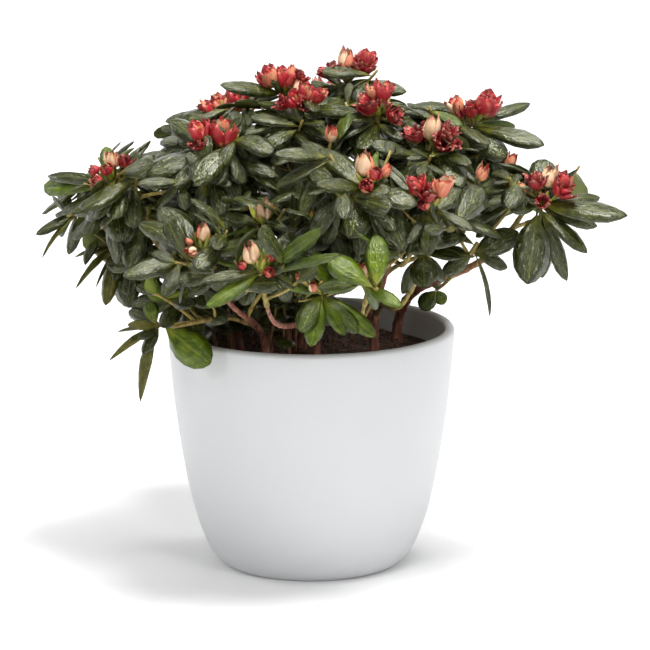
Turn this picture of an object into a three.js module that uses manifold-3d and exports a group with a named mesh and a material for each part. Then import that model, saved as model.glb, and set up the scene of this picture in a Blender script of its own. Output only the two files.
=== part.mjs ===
// A pot azalea in bud, in a matt white ceramic pot. Millimetres, +Z up, the origin in the middle of the
// pot's underside. Eight stems rise out of the peat. Each carries a spray of foliage at its tip and forks
// into boughs that carry others. A spray grows by one seeded rule: a short stem, side shoots round it at the
// golden angle, and on each shoot's tip a rosette of leaves, with a cluster of buds on the leading shoot.
import * as THREE from 'three';
import { mergeVertices } from 'three/addons/utils/BufferGeometryUtils.js';
import Module from 'manifold-3d';

const wasm = await Module();
wasm.setup();

// ---- Driving dimensions -------------------------------------------------------------------------

const GAP = 0.3; // clearance between pieces that touch
const GOLDEN = 137.5; // degrees between one leaf or shoot and the next

const pot = {
  height: 134.4,
  rimRadius: 80,
  footRadius: 47.6,
  cornerReach: 65.5, // where the round of the foot would meet the ground if it ran on flat
  bellyRadius: 77.1, // the wall's own direction higher up aims at this radius ...
  bellyHeight: 80, // ... at this height
  wall: 5.5,
  sides: 32,
  wallSteps: 5,
  lipSteps: 3,
};
const soilHeight = 117.4; // the peat lies 17 mm below the rim
const hub = new THREE.Vector3(0, 0, 117); // the crown's hub: sprays are placed from here

const limb = {
  stemSides: 6,
  stemSteps: 6,
  boughSides: 5,
  boughSteps: 4,
  trackSteps: 14, // short lengths by which leaves keep clear of it
  flare: 0.45, // how much wider a stem is on the peat than just above
  sweep: 0.38, // share of its span for which a limb holds its first and its last direction
  forkTurn: 0.45, // how far a bough leaves its stem's direction for its own where it forks off
  boughShare: 0.72, // a bough's radius over its stem's at the fork
};
const spray = {
  stemLength: 30, // from the bough's tip to the foot of the leading buds
  stemFoot: 1.5,
  stemTip: 1.0,
  uprightness: 0.38, // how much a spray's stem turns from outwards to upwards
  clearance: 0.45, // from a leaf or twig to another spray's space, a limb or the pot
};
const shoot = {
  count: 3,
  length: 27,
  lengthVaries: [0.8, 0.4], // its least share, and how much more it may be
  spread: 58, // degrees between the spray's stem and a side shoot where it leaves
  spreadVaries: 14,
  turnBack: 0.4, // how far it turns back towards the spray's stem
  bend: 0.6, // share of the length that keeps its first direction
  firstBelow: 10, // from the leading buds down to the first side shoot
  spacing: 7,
  foot: 1.0,
  tip: 0.7,
  leafScale: 0.92, // its leaves over the leader's
};
const leaf = {
  length: 41,
  width: 0.44,
  thickness: 0.03,
  arch: 0.3,
  perLeader: 8,
  perShoot: 4,
  firstBelow: 2, // from a shoot's tip down to its highest leaf
  rosetteDepth: 9, // from the highest leaf of a rosette down to the lowest
  lengthVaries: [0.84, 0.16, 0.14], // least share, more for the lowest leaf, and more at random
  pitch: 66, // degrees between the shoot and its highest leaf
  pitchVaries: [36, 10], // more for the lowest leaf, and more at random
  facing: 0.5, // how far the upper side turns from the shoot's direction to the sky
  sag: 0.32, // how far its own weight pulls a leaf's direction down
  tries: [ // degrees further round the shoot, degrees further out, and share of the length
    [0, 0, 1], [24, 5, 0.95], [-24, 10, 0.9], [48, 18, 0.85], [-48, 0, 0.8], [70, 30, 0.7], [-70, 20, 0.62],
  ],
};
const bud = {
  height: 21,
  radius: 11.5,
  lobes: 3,
  outline: [[0, 0], [1, 0.45], [0.5, 1], [0, 0.66]], // shares of the radius and of the height
  dip: [0.7, 0.62], // the same between two lobes
  rise: 0.35, // how far a cluster turns from its shoot's direction to upright
};

// The stems: foot on the peat (distance from the middle, azimuth), radius there, radius at the tip.
const stems = {
  right: { footAt: [60, 36], foot: 3.8, tip: 2.2 },
  rightBack: { footAt: [52, 52], foot: 2.8, tip: 1.6 },
  middle: { footAt: [36, 12], foot: 3.2, tip: 1.8 },
  front: { footAt: [20, -80], foot: 3.0, tip: 1.5 },
  left: { footAt: [40, -172], foot: 3.4, tip: 1.8 },
  frontLeft: { footAt: [38, -130], foot: 2.8, tip: 1.5 },
  centre: { footAt: [10, 120], foot: 3.4, tip: 1.8 },
  back: { footAt: [42, 105], foot: 3.2, tip: 1.8 },
};

// The sprays: azimuth and elevation in degrees and reach in mm of the leading buds from the hub, the stem
// that carries it, how far up that stem it forks off (1 is the stem's own tip), and the size of its buds.
// A spray marked near sits on the stem itself, without a bough. One with a droop gives the elevation of its
// own stem, and one with a seed grows another way than its place in the list would make it.
const sprays = {
  right: { azimuth: -20, elevation: 38, reach: 167, stem: 'right', fork: 1, buds: 1 },
  rightLow: { azimuth: -33, elevation: 35, reach: 130, stem: 'right', fork: 0.5, buds: 0, near: true, seed: 1 },
  farRight: { azimuth: 2, elevation: 29, reach: 169, stem: 'right', fork: 0.42, buds: 0, droop: 16, seed: 2 },
  upperRightBack: { azimuth: 7, elevation: 57, reach: 158, stem: 'rightBack', fork: 1, buds: 1 },
  rearRight: { azimuth: 40, elevation: 33, reach: 152, stem: 'rightBack', fork: 0.3, buds: 0.6 },
  backRightHigh: { azimuth: 46, elevation: 55, reach: 150, stem: 'rightBack', fork: 0.6, buds: 0.8 },
  upperRight: { azimuth: -35, elevation: 58, reach: 150, stem: 'middle', fork: 1, buds: 1 },
  frontRight: { azimuth: -57, elevation: 42, reach: 155, stem: 'middle', fork: 0.5, buds: 1 },
  frontHigh: { azimuth: -72, elevation: 48, reach: 154, stem: 'middle', fork: 0.35, buds: 1 },
  frontInner: { azimuth: -48, elevation: 37, reach: 120, stem: 'middle', fork: 0.18, buds: 0, seed: 1 },
  frontLowLeft: { azimuth: -102, elevation: 30, reach: 147, stem: 'front', fork: 1, buds: 1 },
  frontLow: { azimuth: -74, elevation: 31, reach: 142, stem: 'middle', fork: 0.25, buds: 0.6, seed: 5 },
  frontSkirt: { azimuth: -86, elevation: 27, reach: 124, stem: 'front', fork: 0.3, buds: 0, droop: 14 },
  frontMiddle: { azimuth: -88, elevation: 54, reach: 110, stem: 'centre', fork: 0.42, buds: 0.5, near: true },
  left: { azimuth: -164, elevation: 44, reach: 153, stem: 'left', fork: 1, buds: 1, seed: 1 },
  leftLow: { azimuth: 180, elevation: 27, reach: 131, stem: 'left', fork: 0.4, buds: 0, droop: 10 },
  farLeft: { azimuth: 170, elevation: 34, reach: 155, stem: 'left', fork: 0.3, buds: 0, droop: 20, seed: 1 },
  upperLeft: { azimuth: -139, elevation: 61, reach: 145, stem: 'left', fork: 0.55, buds: 1 },
  frontLeft: { azimuth: -119, elevation: 35, reach: 141, stem: 'frontLeft', fork: 1, buds: 0.8 },
  frontLeftHigh: { azimuth: -106, elevation: 45, reach: 130, stem: 'frontLeft', fork: 0.5, buds: 0.5 },
  lowLeft: { azimuth: -133, elevation: 17, reach: 112, stem: 'frontLeft', fork: 0.3, buds: 0, droop: 0 },
  top: { azimuth: 39, elevation: 82, reach: 153, stem: 'centre', fork: 1, buds: 1 },
  topRight: { azimuth: -40, elevation: 71, reach: 148, stem: 'centre', fork: 0.6, buds: 1 },
  topLeft: { azimuth: -139, elevation: 82, reach: 144, stem: 'centre', fork: 0.75, buds: 1 },
  upperLeftBack: { azimuth: 158, elevation: 64, reach: 144, stem: 'centre', fork: 0.45, buds: 1 },
  back: { azimuth: 92, elevation: 35, reach: 148, stem: 'back', fork: 1, buds: 0.8 },
  backHigh: { azimuth: 88, elevation: 60, reach: 150, stem: 'back', fork: 0.6, buds: 1 },
  backLeft: { azimuth: 122, elevation: 33, reach: 148, stem: 'back', fork: 0.5, buds: 0.8 },
  backLeftHigh: { azimuth: 134, elevation: 53, reach: 148, stem: 'back', fork: 0.68, buds: 0.8, seed: 1 },
  backLow: { azimuth: 104, elevation: 18, reach: 114, stem: 'back', fork: 0.3, buds: 0, droop: 6 },
};

// ---- Materials ----------------------------------------------------------------------------------

const finish = (color, roughness) => new THREE.MeshStandardMaterial({ color, roughness, metalness: 0 });
const ceramic = finish(0xe3e4e6, 0.55);
const peat = finish(0x3a2418, 0.95);
const bark = finish(0x6b3b2c, 0.8);
const foliage = finish(0x2c3f2a, 0.45);

// ---- Small helpers ------------------------------------------------------------------------------

const UP = new THREE.Vector3(0, 0, 1);

/** A repeatable stream of numbers from 0 to 1. */
function seeded(seed) {
  let state = seed >>> 0;
  return () => {
    state = (state + 0x6d2b79f5) >>> 0;
    let mixed = Math.imul(state ^ (state >>> 15), state | 1);
    mixed ^= mixed + Math.imul(mixed ^ (mixed >>> 7), mixed | 61);
    return ((mixed ^ (mixed >>> 14)) >>> 0) / 4294967296;
  };
}

/** A unit vector from an azimuth and an elevation in degrees. */
function towards(azimuth, elevation) {
  const a = THREE.MathUtils.degToRad(azimuth);
  const e = THREE.MathUtils.degToRad(elevation);
  return new THREE.Vector3(Math.cos(a) * Math.cos(e), Math.sin(a) * Math.cos(e), Math.sin(e));
}

/** The direction that leans away from an axis by an angle, on the side that an azimuth round it gives. */
function leaning(axis, azimuth, angle) {
  const level = new THREE.Vector3().crossVectors(UP, axis);
  const side = level.lengthSq() < 1e-6 ? new THREE.Vector3(1, 0, 0) : level.normalize();
  const other = new THREE.Vector3().crossVectors(axis, side);
  const a = THREE.MathUtils.degToRad(azimuth);
  const lean = THREE.MathUtils.degToRad(angle);
  return axis
    .clone()
    .multiplyScalar(Math.cos(lean))
    .addScaledVector(side, Math.sin(lean) * Math.cos(a))
    .addScaledVector(other, Math.sin(lean) * Math.sin(a));
}

/** A closed geometry as a manifold-3d solid. */
function solidOf(geometry) {
  const bare = geometry.clone();
  bare.deleteAttribute('normal');
  bare.deleteAttribute('uv');
  const merged = mergeVertices(bare, 1e-4);
  const mesh = new wasm.Mesh({
    numProp: 3,
    vertProperties: new Float32Array(merged.attributes.position.array),
    triVerts: new Uint32Array(merged.index.array),
  });
  return new wasm.Manifold(mesh);
}

/** The largest body of a solid, without loose scraps. */
const largest = (solid) => solid.decompose().reduce((a, b) => (b.volume() > a.volume() ? b : a));

/** A manifold-3d solid as a three.js geometry. */
function geometryOf(solid) {
  const mesh = solid.getMesh();
  const geometry = new THREE.BufferGeometry();
  geometry.setAttribute('position', new THREE.BufferAttribute(mesh.vertProperties, 3));
  geometry.setIndex(new THREE.BufferAttribute(mesh.triVerts, 1));
  geometry.computeVertexNormals();
  return geometry;
}

function named(name, geometry, material) {
  const mesh = new THREE.Mesh(geometry, material);
  mesh.name = name;
  return mesh;
}

// ---- Pot and peat -------------------------------------------------------------------------------

const lipRadius = pot.wall / 2;
const lipHeight = pot.height - lipRadius;
const wallCurve = new THREE.CubicBezierCurve(
  new THREE.Vector2(pot.footRadius, 0),
  new THREE.Vector2(pot.cornerReach, 0),
  new THREE.Vector2(pot.bellyRadius, pot.bellyHeight),
  new THREE.Vector2(pot.rimRadius, lipHeight),
);

/** Where on the wall's curve, from 0 to 1, it is at a height. */
function wallShareAt(height) {
  let low = 0;
  let high = 1;
  while (high - low > 1e-6) {
    const middle = (low + high) / 2;
    if (wallCurve.getPoint(middle).y < height) low = middle;
    else high = middle;
  }
  return low;
}

/** Points up the wall to a share of its height, moved inwards from the outer face by a depth. */
function wallPoints(depth, share) {
  const points = [];
  for (let i = 0; i <= pot.wallSteps; i += 1) {
    const t = (share * i) / pot.wallSteps;
    const point = wallCurve.getPoint(t);
    const along = wallCurve.getTangent(t);
    points.push(new THREE.Vector2(point.x - along.y * depth, point.y + along.x * depth));
  }
  return points;
}

/** A profile of (radius, height) points turned round the upright axis. */
function turned(profile, sides) {
  return new THREE.LatheGeometry(profile, sides).rotateX(Math.PI / 2);
}

const soilShare = wallShareAt(soilHeight);

function potGeometry() {
  const outer = [...wallPoints(0, soilShare), wallCurve.getPoint(1)];
  const lip = new THREE.Path().absarc(pot.rimRadius - lipRadius, lipHeight, lipRadius, 0, Math.PI);
  const rim = lip.getPoints(pot.lipSteps).slice(1);
  const inner = wallPoints(pot.wall, soilShare).reverse();
  const bottom = new THREE.Vector2(0, 0);
  const floor = new THREE.Vector2(0, pot.wall);
  return turned([bottom, ...outer, ...rim, ...inner, floor], pot.sides);
}

function peatGeometry() {
  const side = wallPoints(pot.wall + GAP, soilShare);
  const bottom = new THREE.Vector2(0, side[0].y);
  const top = new THREE.Vector2(0, side.at(-1).y);
  return turned([bottom, ...side, top], pot.sides);
}

const soilTop = wallPoints(pot.wall + GAP, soilShare).at(-1).y;

// ---- Limbs --------------------------------------------------------------------------------------

/** A smooth curve that leaves one point in a direction and comes into another in a direction. */
function growthCurve(start, leaving, end, arriving) {
  const span = start.distanceTo(end);
  const second = start.clone().addScaledVector(leaving, span * limb.sweep);
  const third = end.clone().addScaledVector(arriving, -span * limb.sweep);
  return new THREE.CubicBezierCurve3(start, second, third, end);
}

/** A tapering round limb along a curve, flat at both ends. A flare widens its foot. */
function limbGeometry(curve, foot, tip, sides, steps, flare = 0) {
  const geometry = new THREE.CylinderGeometry(tip, foot, 1, sides, steps);
  const frames = curve.computeFrenetFrames(steps);
  const places = geometry.attributes.position;
  for (let i = 0; i < places.count; i += 1) {
    const ring = Math.round((places.getY(i) + 0.5) * steps);
    const widening = ring === 0 ? 1 + flare : 1;
    const place = curve
      .getPointAt(ring / steps)
      .addScaledVector(frames.normals[ring], places.getX(i) * widening)
      .addScaledVector(frames.binormals[ring], -places.getZ(i) * widening);
    places.setXYZ(i, place.x, place.y, place.z);
  }
  return geometry;
}

/** Where a spray's leading buds sit, the way its stem points there, and where its bough ends. */
function placeOf(name) {
  const { azimuth, elevation, reach, droop } = sprays[name];
  const outwards = towards(azimuth, elevation);
  const heart = hub.clone().addScaledVector(outwards, reach);
  const rising = outwards.clone().lerp(UP, spray.uprightness).normalize();
  const axis = droop === undefined ? rising : towards(azimuth, droop);
  const boughTip = heart.clone().addScaledVector(axis, -spray.stemLength);
  return { heart, axis, boughTip };
}

const places = Object.fromEntries(Object.keys(sprays).map((name) => [name, placeOf(name)]));

/** A stem's curve, from its foot on the peat to the spray at its tip. */
function stemCurve(stem) {
  const [distance, footAzimuth] = stems[stem].footAt;
  const foot = towards(footAzimuth, 0).multiplyScalar(distance).setZ(soilTop + GAP);
  const [name] = Object.entries(sprays).find(([, of]) => of.stem === stem && of.fork === 1);
  const { axis, boughTip } = places[name];
  return growthCurve(foot, UP, boughTip, axis);
}

const stemCurves = Object.fromEntries(Object.keys(stems).map((stem) => [stem, stemCurve(stem)]));

/** The curve from a stem's axis, where a bough or a near spray forks off, to an end point. */
function forkCurve(name, end) {
  const { stem, fork } = sprays[name];
  const start = stemCurves[stem].getPointAt(fork);
  const straight = end.clone().sub(start).normalize();
  const leaving = stemCurves[stem].getTangentAt(fork).lerp(straight, limb.forkTurn).normalize();
  return growthCurve(start, leaving, end, places[name].axis);
}

/** Every limb: its name, curve and radii, and for a bough the stem that carries it. */
function limbList() {
  const list = Object.entries(stems).map(([stem, { foot, tip }]) => (
    { name: `stem_${stem}`, curve: stemCurves[stem], foot, tip }
  ));
  for (const [name, { stem, fork, near }] of Object.entries(sprays)) {
    if (fork === 1 || near) continue;
    const foot = THREE.MathUtils.lerp(stems[stem].foot, stems[stem].tip, fork) * limb.boughShare;
    const curve = forkCurve(name, places[name].boughTip);
    list.push({ name: `bough_${name}`, curve, foot, tip: spray.stemFoot, stem });
  }
  return list;
}

const limbs = limbList();

/** A stem's solid, widened all round by a margin. */
function stemSolid(stem, margin) {
  const { foot, tip } = stems[stem];
  const curve = stemCurves[stem];
  return solidOf(
    limbGeometry(curve, foot + margin, tip + margin, limb.stemSides, limb.stemSteps, limb.flare),
  );
}

/** A stem is whole. A bough starts on its stem's axis, and the stem with its clearance is cut off it. */
function limbSolid({ curve, foot, tip, stem, name }) {
  if (!stem) return stemSolid(name.replace('stem_', ''), 0);
  const whole = solidOf(limbGeometry(curve, foot, tip, limb.boughSides, limb.boughSteps));
  return largest(whole.subtract(stemSolid(stem, GAP)));
}

// ---- What a leaf or twig keeps clear of ---------------------------------------------------------

const nearest = new THREE.Vector3();
const distanceTo = (line, point) => line.closestPointToPoint(point, true, nearest).distanceTo(point);

const spine = (name) => new THREE.Line3(places[name].boughTip, places[name].heart);
const spines = Object.fromEntries(Object.keys(sprays).map((name) => [name, spine(name)]));

/** A limb as short straight lengths with the radius at each. */
function limbTrack({ curve, foot, tip }) {
  const points = curve.getSpacedPoints(limb.trackSteps);
  return points.slice(1).map((point, i) => (
    { line: new THREE.Line3(points[i], point), radius: THREE.MathUtils.lerp(foot, tip, i / limb.trackSteps) }
  ));
}

const limbTracks = limbs.flatMap(limbTrack);

/** A spray's own space is all that lies nearer to its spine than to any other spray's. */
function inOwnSpace(name, point) {
  const own = distanceTo(spines[name], point);
  return Object.entries(spines).every(
    ([other, line]) => other === name || distanceTo(line, point) - own > spray.clearance * 2,
  );
}

/** Clear of the pot and the peat: above the rim and peat, or outside the wall. */
function clearOfPot(point) {
  const radius = Math.hypot(point.x, point.y);
  if (point.z > pot.height + spray.clearance) return true;
  if (radius > pot.rimRadius + spray.clearance) return point.z > 0;
  return radius < pot.rimRadius - pot.wall - spray.clearance * 2 && point.z > soilTop + spray.clearance;
}

const clearOfLimbs = (point) => (
  limbTracks.every(({ line, radius }) => distanceTo(line, point) > radius + spray.clearance)
);

const fits = (name, points) => (
  points.every((point) => clearOfPot(point) && inOwnSpace(name, point) && clearOfLimbs(point))
);

// ---- Leaves -------------------------------------------------------------------------------------

const leafOutline = [[0, 0], [0.8, 0.4], [0.92, 0.72], [0, 1]]; // share of the half width, of the length
const ridgeEnd = 0.5; // share of the length beyond which the ridge runs straight to the tip

/** How far a leaf's middle stands above its foot's plane, at a share of its length. */
const archAt = (share) => leaf.arch * (0.3 * share - 0.5 * share * share);

/** A leaf as it lies flat: its foot at the origin, along +Y, its upper side with the ridge towards +Z. */
function leafBlank(length) {
  const outline = leafOutline.map(([across, share]) => new THREE.Vector2(across, share));
  const blank = new THREE.LatheGeometry(outline, 3);
  blank.scale((leaf.width * length) / Math.sqrt(3), length, (leaf.thickness * length) / 1.5);
  const points = blank.attributes.position;
  for (let i = 0; i < points.count; i += 1) {
    const share = points.getY(i) / length;
    const onRidge = points.getZ(i) > 0.1;
    if (onRidge && share > ridgeEnd) points.setXYZ(i, 0, length, length * archAt(1));
    else points.setZ(i, points.getZ(i) + length * archAt(share));
  }
  return blank;
}

/** The turn that lays a blank's +Y along a direction with its +Z as near as can be to another. */
function lying(foot, along, facing) {
  const side = new THREE.Vector3().crossVectors(along, facing).normalize();
  const upper = new THREE.Vector3().crossVectors(side, along);
  return new THREE.Matrix4().makeBasis(side, along, upper).setPosition(foot);
}

/** A leaf's blade beyond its foot as points, as triangles and as the edges round it. */
function bladeOf(turn, length) {
  const at = (across, share) => {
    const place = new THREE.Vector3((across * leaf.width) / 2, share, archAt(share));
    return place.multiplyScalar(length).applyMatrix4(turn);
  };
  const foot = at(0, 0.16);
  const [lowLeft, lowRight] = [at(-0.8, 0.4), at(0.8, 0.4)];
  const [highLeft, highRight] = [at(-0.92, 0.72), at(0.92, 0.72)];
  const tip = at(0, 1);
  const points = [foot, tip, at(0.6, 0.9), at(-0.6, 0.9)];
  for (const share of [0.4, 0.56, 0.72]) points.push(at(-0.92, share), at(0, share), at(0.92, share));
  return {
    points,
    triangles: [
      [foot, lowLeft, lowRight],
      [lowLeft, highLeft, lowRight],
      [lowRight, highLeft, highRight],
      [highLeft, tip, highRight],
    ],
    edges: [
      [foot, lowLeft], [lowLeft, highLeft], [highLeft, tip],
      [foot, lowRight], [lowRight, highRight], [highRight, tip],
    ],
  };
}

const ray = new THREE.Ray();
const hit = new THREE.Vector3();

/** Whether an edge passes through a triangle. */
function pierces([start, end], [a, b, c]) {
  ray.origin.copy(start);
  ray.direction.subVectors(end, start).normalize();
  return ray.intersectTriangle(a, b, c, false, hit) !== null && hit.distanceTo(start) < end.distanceTo(start);
}

/** Whether a blade crosses anything that stands already: other blades, twigs and buds. */
function crosses(blade, standing) {
  return (
    blade.edges.some((edge) => standing.triangles.some((triangle) => pierces(edge, triangle))) ||
    standing.edges.some((edge) => blade.triangles.some((triangle) => pierces(edge, triangle)))
  );
}

/** One leaf on a shoot, or nothing where it has no room. A crowded one is tried again, turned and smaller. */
function leafAt(name, foot, axis, azimuth, pitch, fullLength, standing) {
  for (const [turned, spread, size] of leaf.tries) {
    const length = fullLength * size;
    const along = leaning(axis, azimuth + turned, pitch + spread)
      .addScaledVector(UP, -leaf.sag)
      .normalize();
    const turn = lying(foot, along, axis.clone().addScaledVector(UP, leaf.facing));
    const blade = bladeOf(turn, length);
    if (!fits(name, blade.points) || crosses(blade, standing)) continue;
    standing.triangles.push(...blade.triangles);
    standing.edges.push(...blade.edges);
    return leafBlank(length).applyMatrix4(turn);
  }
  return null;
}

/** A rosette: leaves round a shoot's tip at the golden angle, the lowest the longest and the most spread. */
function rosette(name, { curve, random }, count, scale, standing) {
  const leaves = [];
  const [least, lower, chance] = leaf.lengthVaries;
  const span = curve.getLength();
  const turn = random() * 360;
  for (let i = 0; i < count; i += 1) {
    const share = 1 - (leaf.firstBelow + (leaf.rosetteDepth * i) / count) / span;
    const pitch = leaf.pitch + (leaf.pitchVaries[0] * i) / count + random() * leaf.pitchVaries[1];
    const length = leaf.length * scale * (least + lower * (i / count) + random() * chance);
    const foot = curve.getPoint(share);
    leaves.push(leafAt(name, foot, curve.getTangent(share), turn + i * GOLDEN, pitch, length, standing));
  }
  return leaves.filter(Boolean);
}

// ---- Sprays -------------------------------------------------------------------------------------

/** A cluster of buds as one lobed solid, which widens from the shoot's tip and ends in upright points. */
function budCluster(tip, axis, size, azimuth, standing) {
  const blank = new THREE.LatheGeometry(bud.outline.map(([r, h]) => new THREE.Vector2(r, h)), bud.lobes * 2);
  const [dipRadius, dipHeight] = bud.dip;
  const points = blank.attributes.position;
  for (let i = 0; i < points.count; i += 1) {
    const isDip = points.getY(i) === 1 && Math.floor(i / bud.outline.length) % 2 === 1;
    const widening = dipRadius / Math.hypot(points.getX(i), points.getZ(i));
    if (isDip) points.setXYZ(i, points.getX(i) * widening, dipHeight, points.getZ(i) * widening);
  }
  blank.scale(bud.radius * size, bud.height * size, bud.radius * size);
  blank.rotateY(THREE.MathUtils.degToRad(azimuth));
  const upright = axis.clone().lerp(UP, bud.rise).normalize();
  blank.applyMatrix4(lying(tip.clone().addScaledVector(axis, -1), upright, new THREE.Vector3(1, 0, 0)));
  const corner = (i) => new THREE.Vector3().fromBufferAttribute(points, blank.index.getX(i));
  for (let i = 0; i < blank.index.count; i += 3) {
    const triangle = [corner(i), corner(i + 1), corner(i + 2)];
    standing.triangles.push(triangle);
    standing.edges.push([triangle[0], triangle[1]], [triangle[1], triangle[2]], [triangle[2], triangle[0]]);
  }
  return blank;
}

/** A side shoot's curve: it leaves the spray's stem outwards and turns part of the way back towards it. */
function sideShoot(stem, axis, azimuth, i, random) {
  const share = 1 - (shoot.firstBelow + shoot.spacing * i) / stem.getLength();
  const foot = stem.getPoint(share);
  const leaving = leaning(axis, azimuth + i * GOLDEN, shoot.spread + random() * shoot.spreadVaries);
  const length = shoot.length * (shoot.lengthVaries[0] + random() * shoot.lengthVaries[1]);
  const arriving = leaving.clone().lerp(axis, shoot.turnBack).normalize();
  const bend = foot.clone().addScaledVector(leaving, length * shoot.bend);
  const tip = bend.addScaledVector(arriving, length * (1 - shoot.bend));
  return growthCurve(foot, leaving, tip, arriving);
}

/** One spray as a single solid: its stem, side shoots, buds and leaves, fused. */
function spraySolid(name, index) {
  const { heart, axis, boughTip } = places[name];
  const { buds, near, stem, seed = 0 } = sprays[name];
  const firstSeed = index * 101 + seed * 5003;
  const standing = { triangles: [], edges: [] };
  const random = seeded(firstSeed + 7);
  const straight = new THREE.LineCurve3(boughTip.clone().addScaledVector(axis, GAP), heart);
  const leader = { curve: near ? forkCurve(name, heart) : straight, random };
  const parts = [limbGeometry(leader.curve, spray.stemFoot, spray.stemTip, 3, near ? 4 : 1)];
  standing.edges.push([leader.curve.getPoint(0.5), leader.curve.getPoint(1)]);
  const azimuth = random() * 360;
  const shoots = [];
  for (let i = 0; i < shoot.count; i += 1) {
    const own = seeded(firstSeed + 17 + i);
    const curve = sideShoot(leader.curve, axis, azimuth, i, own);
    if (!fits(name, curve.getPoints(5).slice(1))) continue;
    shoots.push({ curve, random: own });
    parts.push(limbGeometry(curve, shoot.foot, shoot.tip, 3, 2));
    standing.edges.push([curve.getPoint(0), curve.getPoint(0.5)], [curve.getPoint(0.5), curve.getPoint(1)]);
  }
  if (buds > 0) parts.push(budCluster(heart, axis, buds, random() * 360, standing));
  parts.push(...rosette(name, leader, leaf.perLeader, 1, standing));
  shoots.forEach((side, i) => {
    parts.push(...rosette(name, side, leaf.perShoot - (i % 2), shoot.leafScale, standing));
  });
  const whole = wasm.Manifold.union(parts.map(solidOf)).simplify(0.02);
  return largest(near ? whole.subtract(stemSolid(stem, GAP)) : whole);
}

// ---- The whole plant ----------------------------------------------------------------------------

const azalea = new THREE.Group();
azalea.add(named('pot', potGeometry(), ceramic));
azalea.add(named('peat', peatGeometry(), peat));
for (const limbOne of limbs) azalea.add(named(limbOne.name, geometryOf(limbSolid(limbOne)), bark));
Object.keys(sprays).forEach((name, index) => {
  azalea.add(named(`spray_${name}`, geometryOf(spraySolid(name, index)), foliage));
});

export default azalea;
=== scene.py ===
# %% [markdown]
# # A pot azalea in bud
# A small evergreen shrub stands in a matt white planter: red flower buds about to open, dark leathery
# leaves in rosettes, thin reddish stems. We build it round the measured solids that come with the frame.
# The solids say where each stem, bough and spray is; the meshes made here say what they look like.

# %% Open the frame
import math

import bmesh
import bpy
import numpy as np
from mathutils import Matrix, Vector


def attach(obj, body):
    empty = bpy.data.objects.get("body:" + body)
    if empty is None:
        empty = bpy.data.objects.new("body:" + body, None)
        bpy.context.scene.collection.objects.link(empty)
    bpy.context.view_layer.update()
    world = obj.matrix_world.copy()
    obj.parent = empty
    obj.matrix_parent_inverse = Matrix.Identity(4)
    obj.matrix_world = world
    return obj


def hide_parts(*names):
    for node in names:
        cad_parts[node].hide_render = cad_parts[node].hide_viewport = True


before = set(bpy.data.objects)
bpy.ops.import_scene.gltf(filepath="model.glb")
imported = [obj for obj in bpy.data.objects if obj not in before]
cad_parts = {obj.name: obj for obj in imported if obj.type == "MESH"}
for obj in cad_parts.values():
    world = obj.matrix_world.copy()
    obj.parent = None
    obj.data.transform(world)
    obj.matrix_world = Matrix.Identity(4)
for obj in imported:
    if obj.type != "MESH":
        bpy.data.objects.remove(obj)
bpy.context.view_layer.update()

MM = 0.001

# %% [markdown]
# ## Camera, floor and light
# A house plant shows best through a long lens from a little above, which keeps the rim of the pot a narrow
# ellipse. The floor is a plain pale sheet that sweeps up behind, so there is no horizon, and the light
# comes from large soft lamps and an even white room.

# %% Camera
camera_data = bpy.data.cameras.new("studio_camera")
camera_data.lens = 177.84
camera_data.sensor_width = 36
camera = bpy.data.objects.new("studio_camera", camera_data)
camera.location = (0.0077, -1.7504, 0.5083)
look_at = Vector((0.0077, 0, 0.134))
camera.rotation_euler = (look_at - camera.location).to_track_quat("-Z", "Y").to_euler()
bpy.context.collection.objects.link(camera)
bpy.context.scene.camera = camera
print("camera stands", round((camera.location - look_at).length, 3), "m away")


# %% Helpers: one object alone, vertices by a test, a welded mesh, a new material
def alone(obj):
    """Select this object and nothing else."""
    bpy.ops.object.select_all(action="DESELECT")
    obj.select_set(True)
    bpy.context.view_layer.objects.active = obj


def pick(wanted):
    """In edit mode, select only the vertices that pass the test."""
    bpy.ops.mesh.select_mode(type="VERT")
    bpy.ops.mesh.select_all(action="DESELECT")
    mesh = bmesh.from_edit_mesh(bpy.context.object.data)
    for vertex in mesh.verts:
        vertex.select = bool(wanted(vertex))
    mesh.select_flush_mode()
    bmesh.update_edit_mesh(bpy.context.object.data)


def weld():
    """In edit mode, merge what lies in one place and turn all faces outwards, then leave edit mode."""
    bpy.ops.mesh.select_all(action="SELECT")
    bpy.ops.mesh.remove_doubles(threshold=1e-6)
    bpy.ops.mesh.normals_make_consistent(inside=False)
    bpy.ops.object.mode_set(mode="OBJECT")


def shader(name, color, roughness):
    """A new material, with its tree and its Principled node."""
    material = bpy.data.materials.new(name)
    material.use_nodes = True
    principled = material.node_tree.nodes["Principled BSDF"]
    principled.inputs["Base Color"].default_value = (*color, 1)
    principled.inputs["Roughness"].default_value = roughness
    material.diffuse_color = (*color, 1)
    return material, material.node_tree, principled


# %% Floor that sweeps up into a backdrop
bpy.ops.object.select_all(action="DESELECT")
bpy.ops.mesh.primitive_plane_add(size=6, location=(0, 0, 0))
floor = bpy.context.object
floor.name = "studio_floor"
bpy.ops.object.mode_set(mode="EDIT")
pick(lambda v: v.co.y > 2.9)
for step in ((0, 0.5, 0.15), (0, 0.3, 0.6), (0, 0, 3)):
    bpy.ops.mesh.extrude_region_move(TRANSFORM_OT_translate={"value": step})
bpy.ops.object.mode_set(mode="OBJECT")
bpy.ops.object.shade_smooth()
floor.data.materials.append(shader("studio_paper", (0.93, 0.93, 0.93), 0.9)[0])


# %% Lamps and the white room
def soft_lamp(name, place, size, power, target=(0, 0, 0.17)):
    data = bpy.data.lights.new(name, "AREA")
    data.shape, data.size, data.energy = "DISK", size, power
    lamp = bpy.data.objects.new(name, data)
    lamp.location = place
    lamp.rotation_euler = (Vector(target) - lamp.location).to_track_quat("-Z", "Y").to_euler()
    bpy.context.collection.objects.link(lamp)


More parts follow.
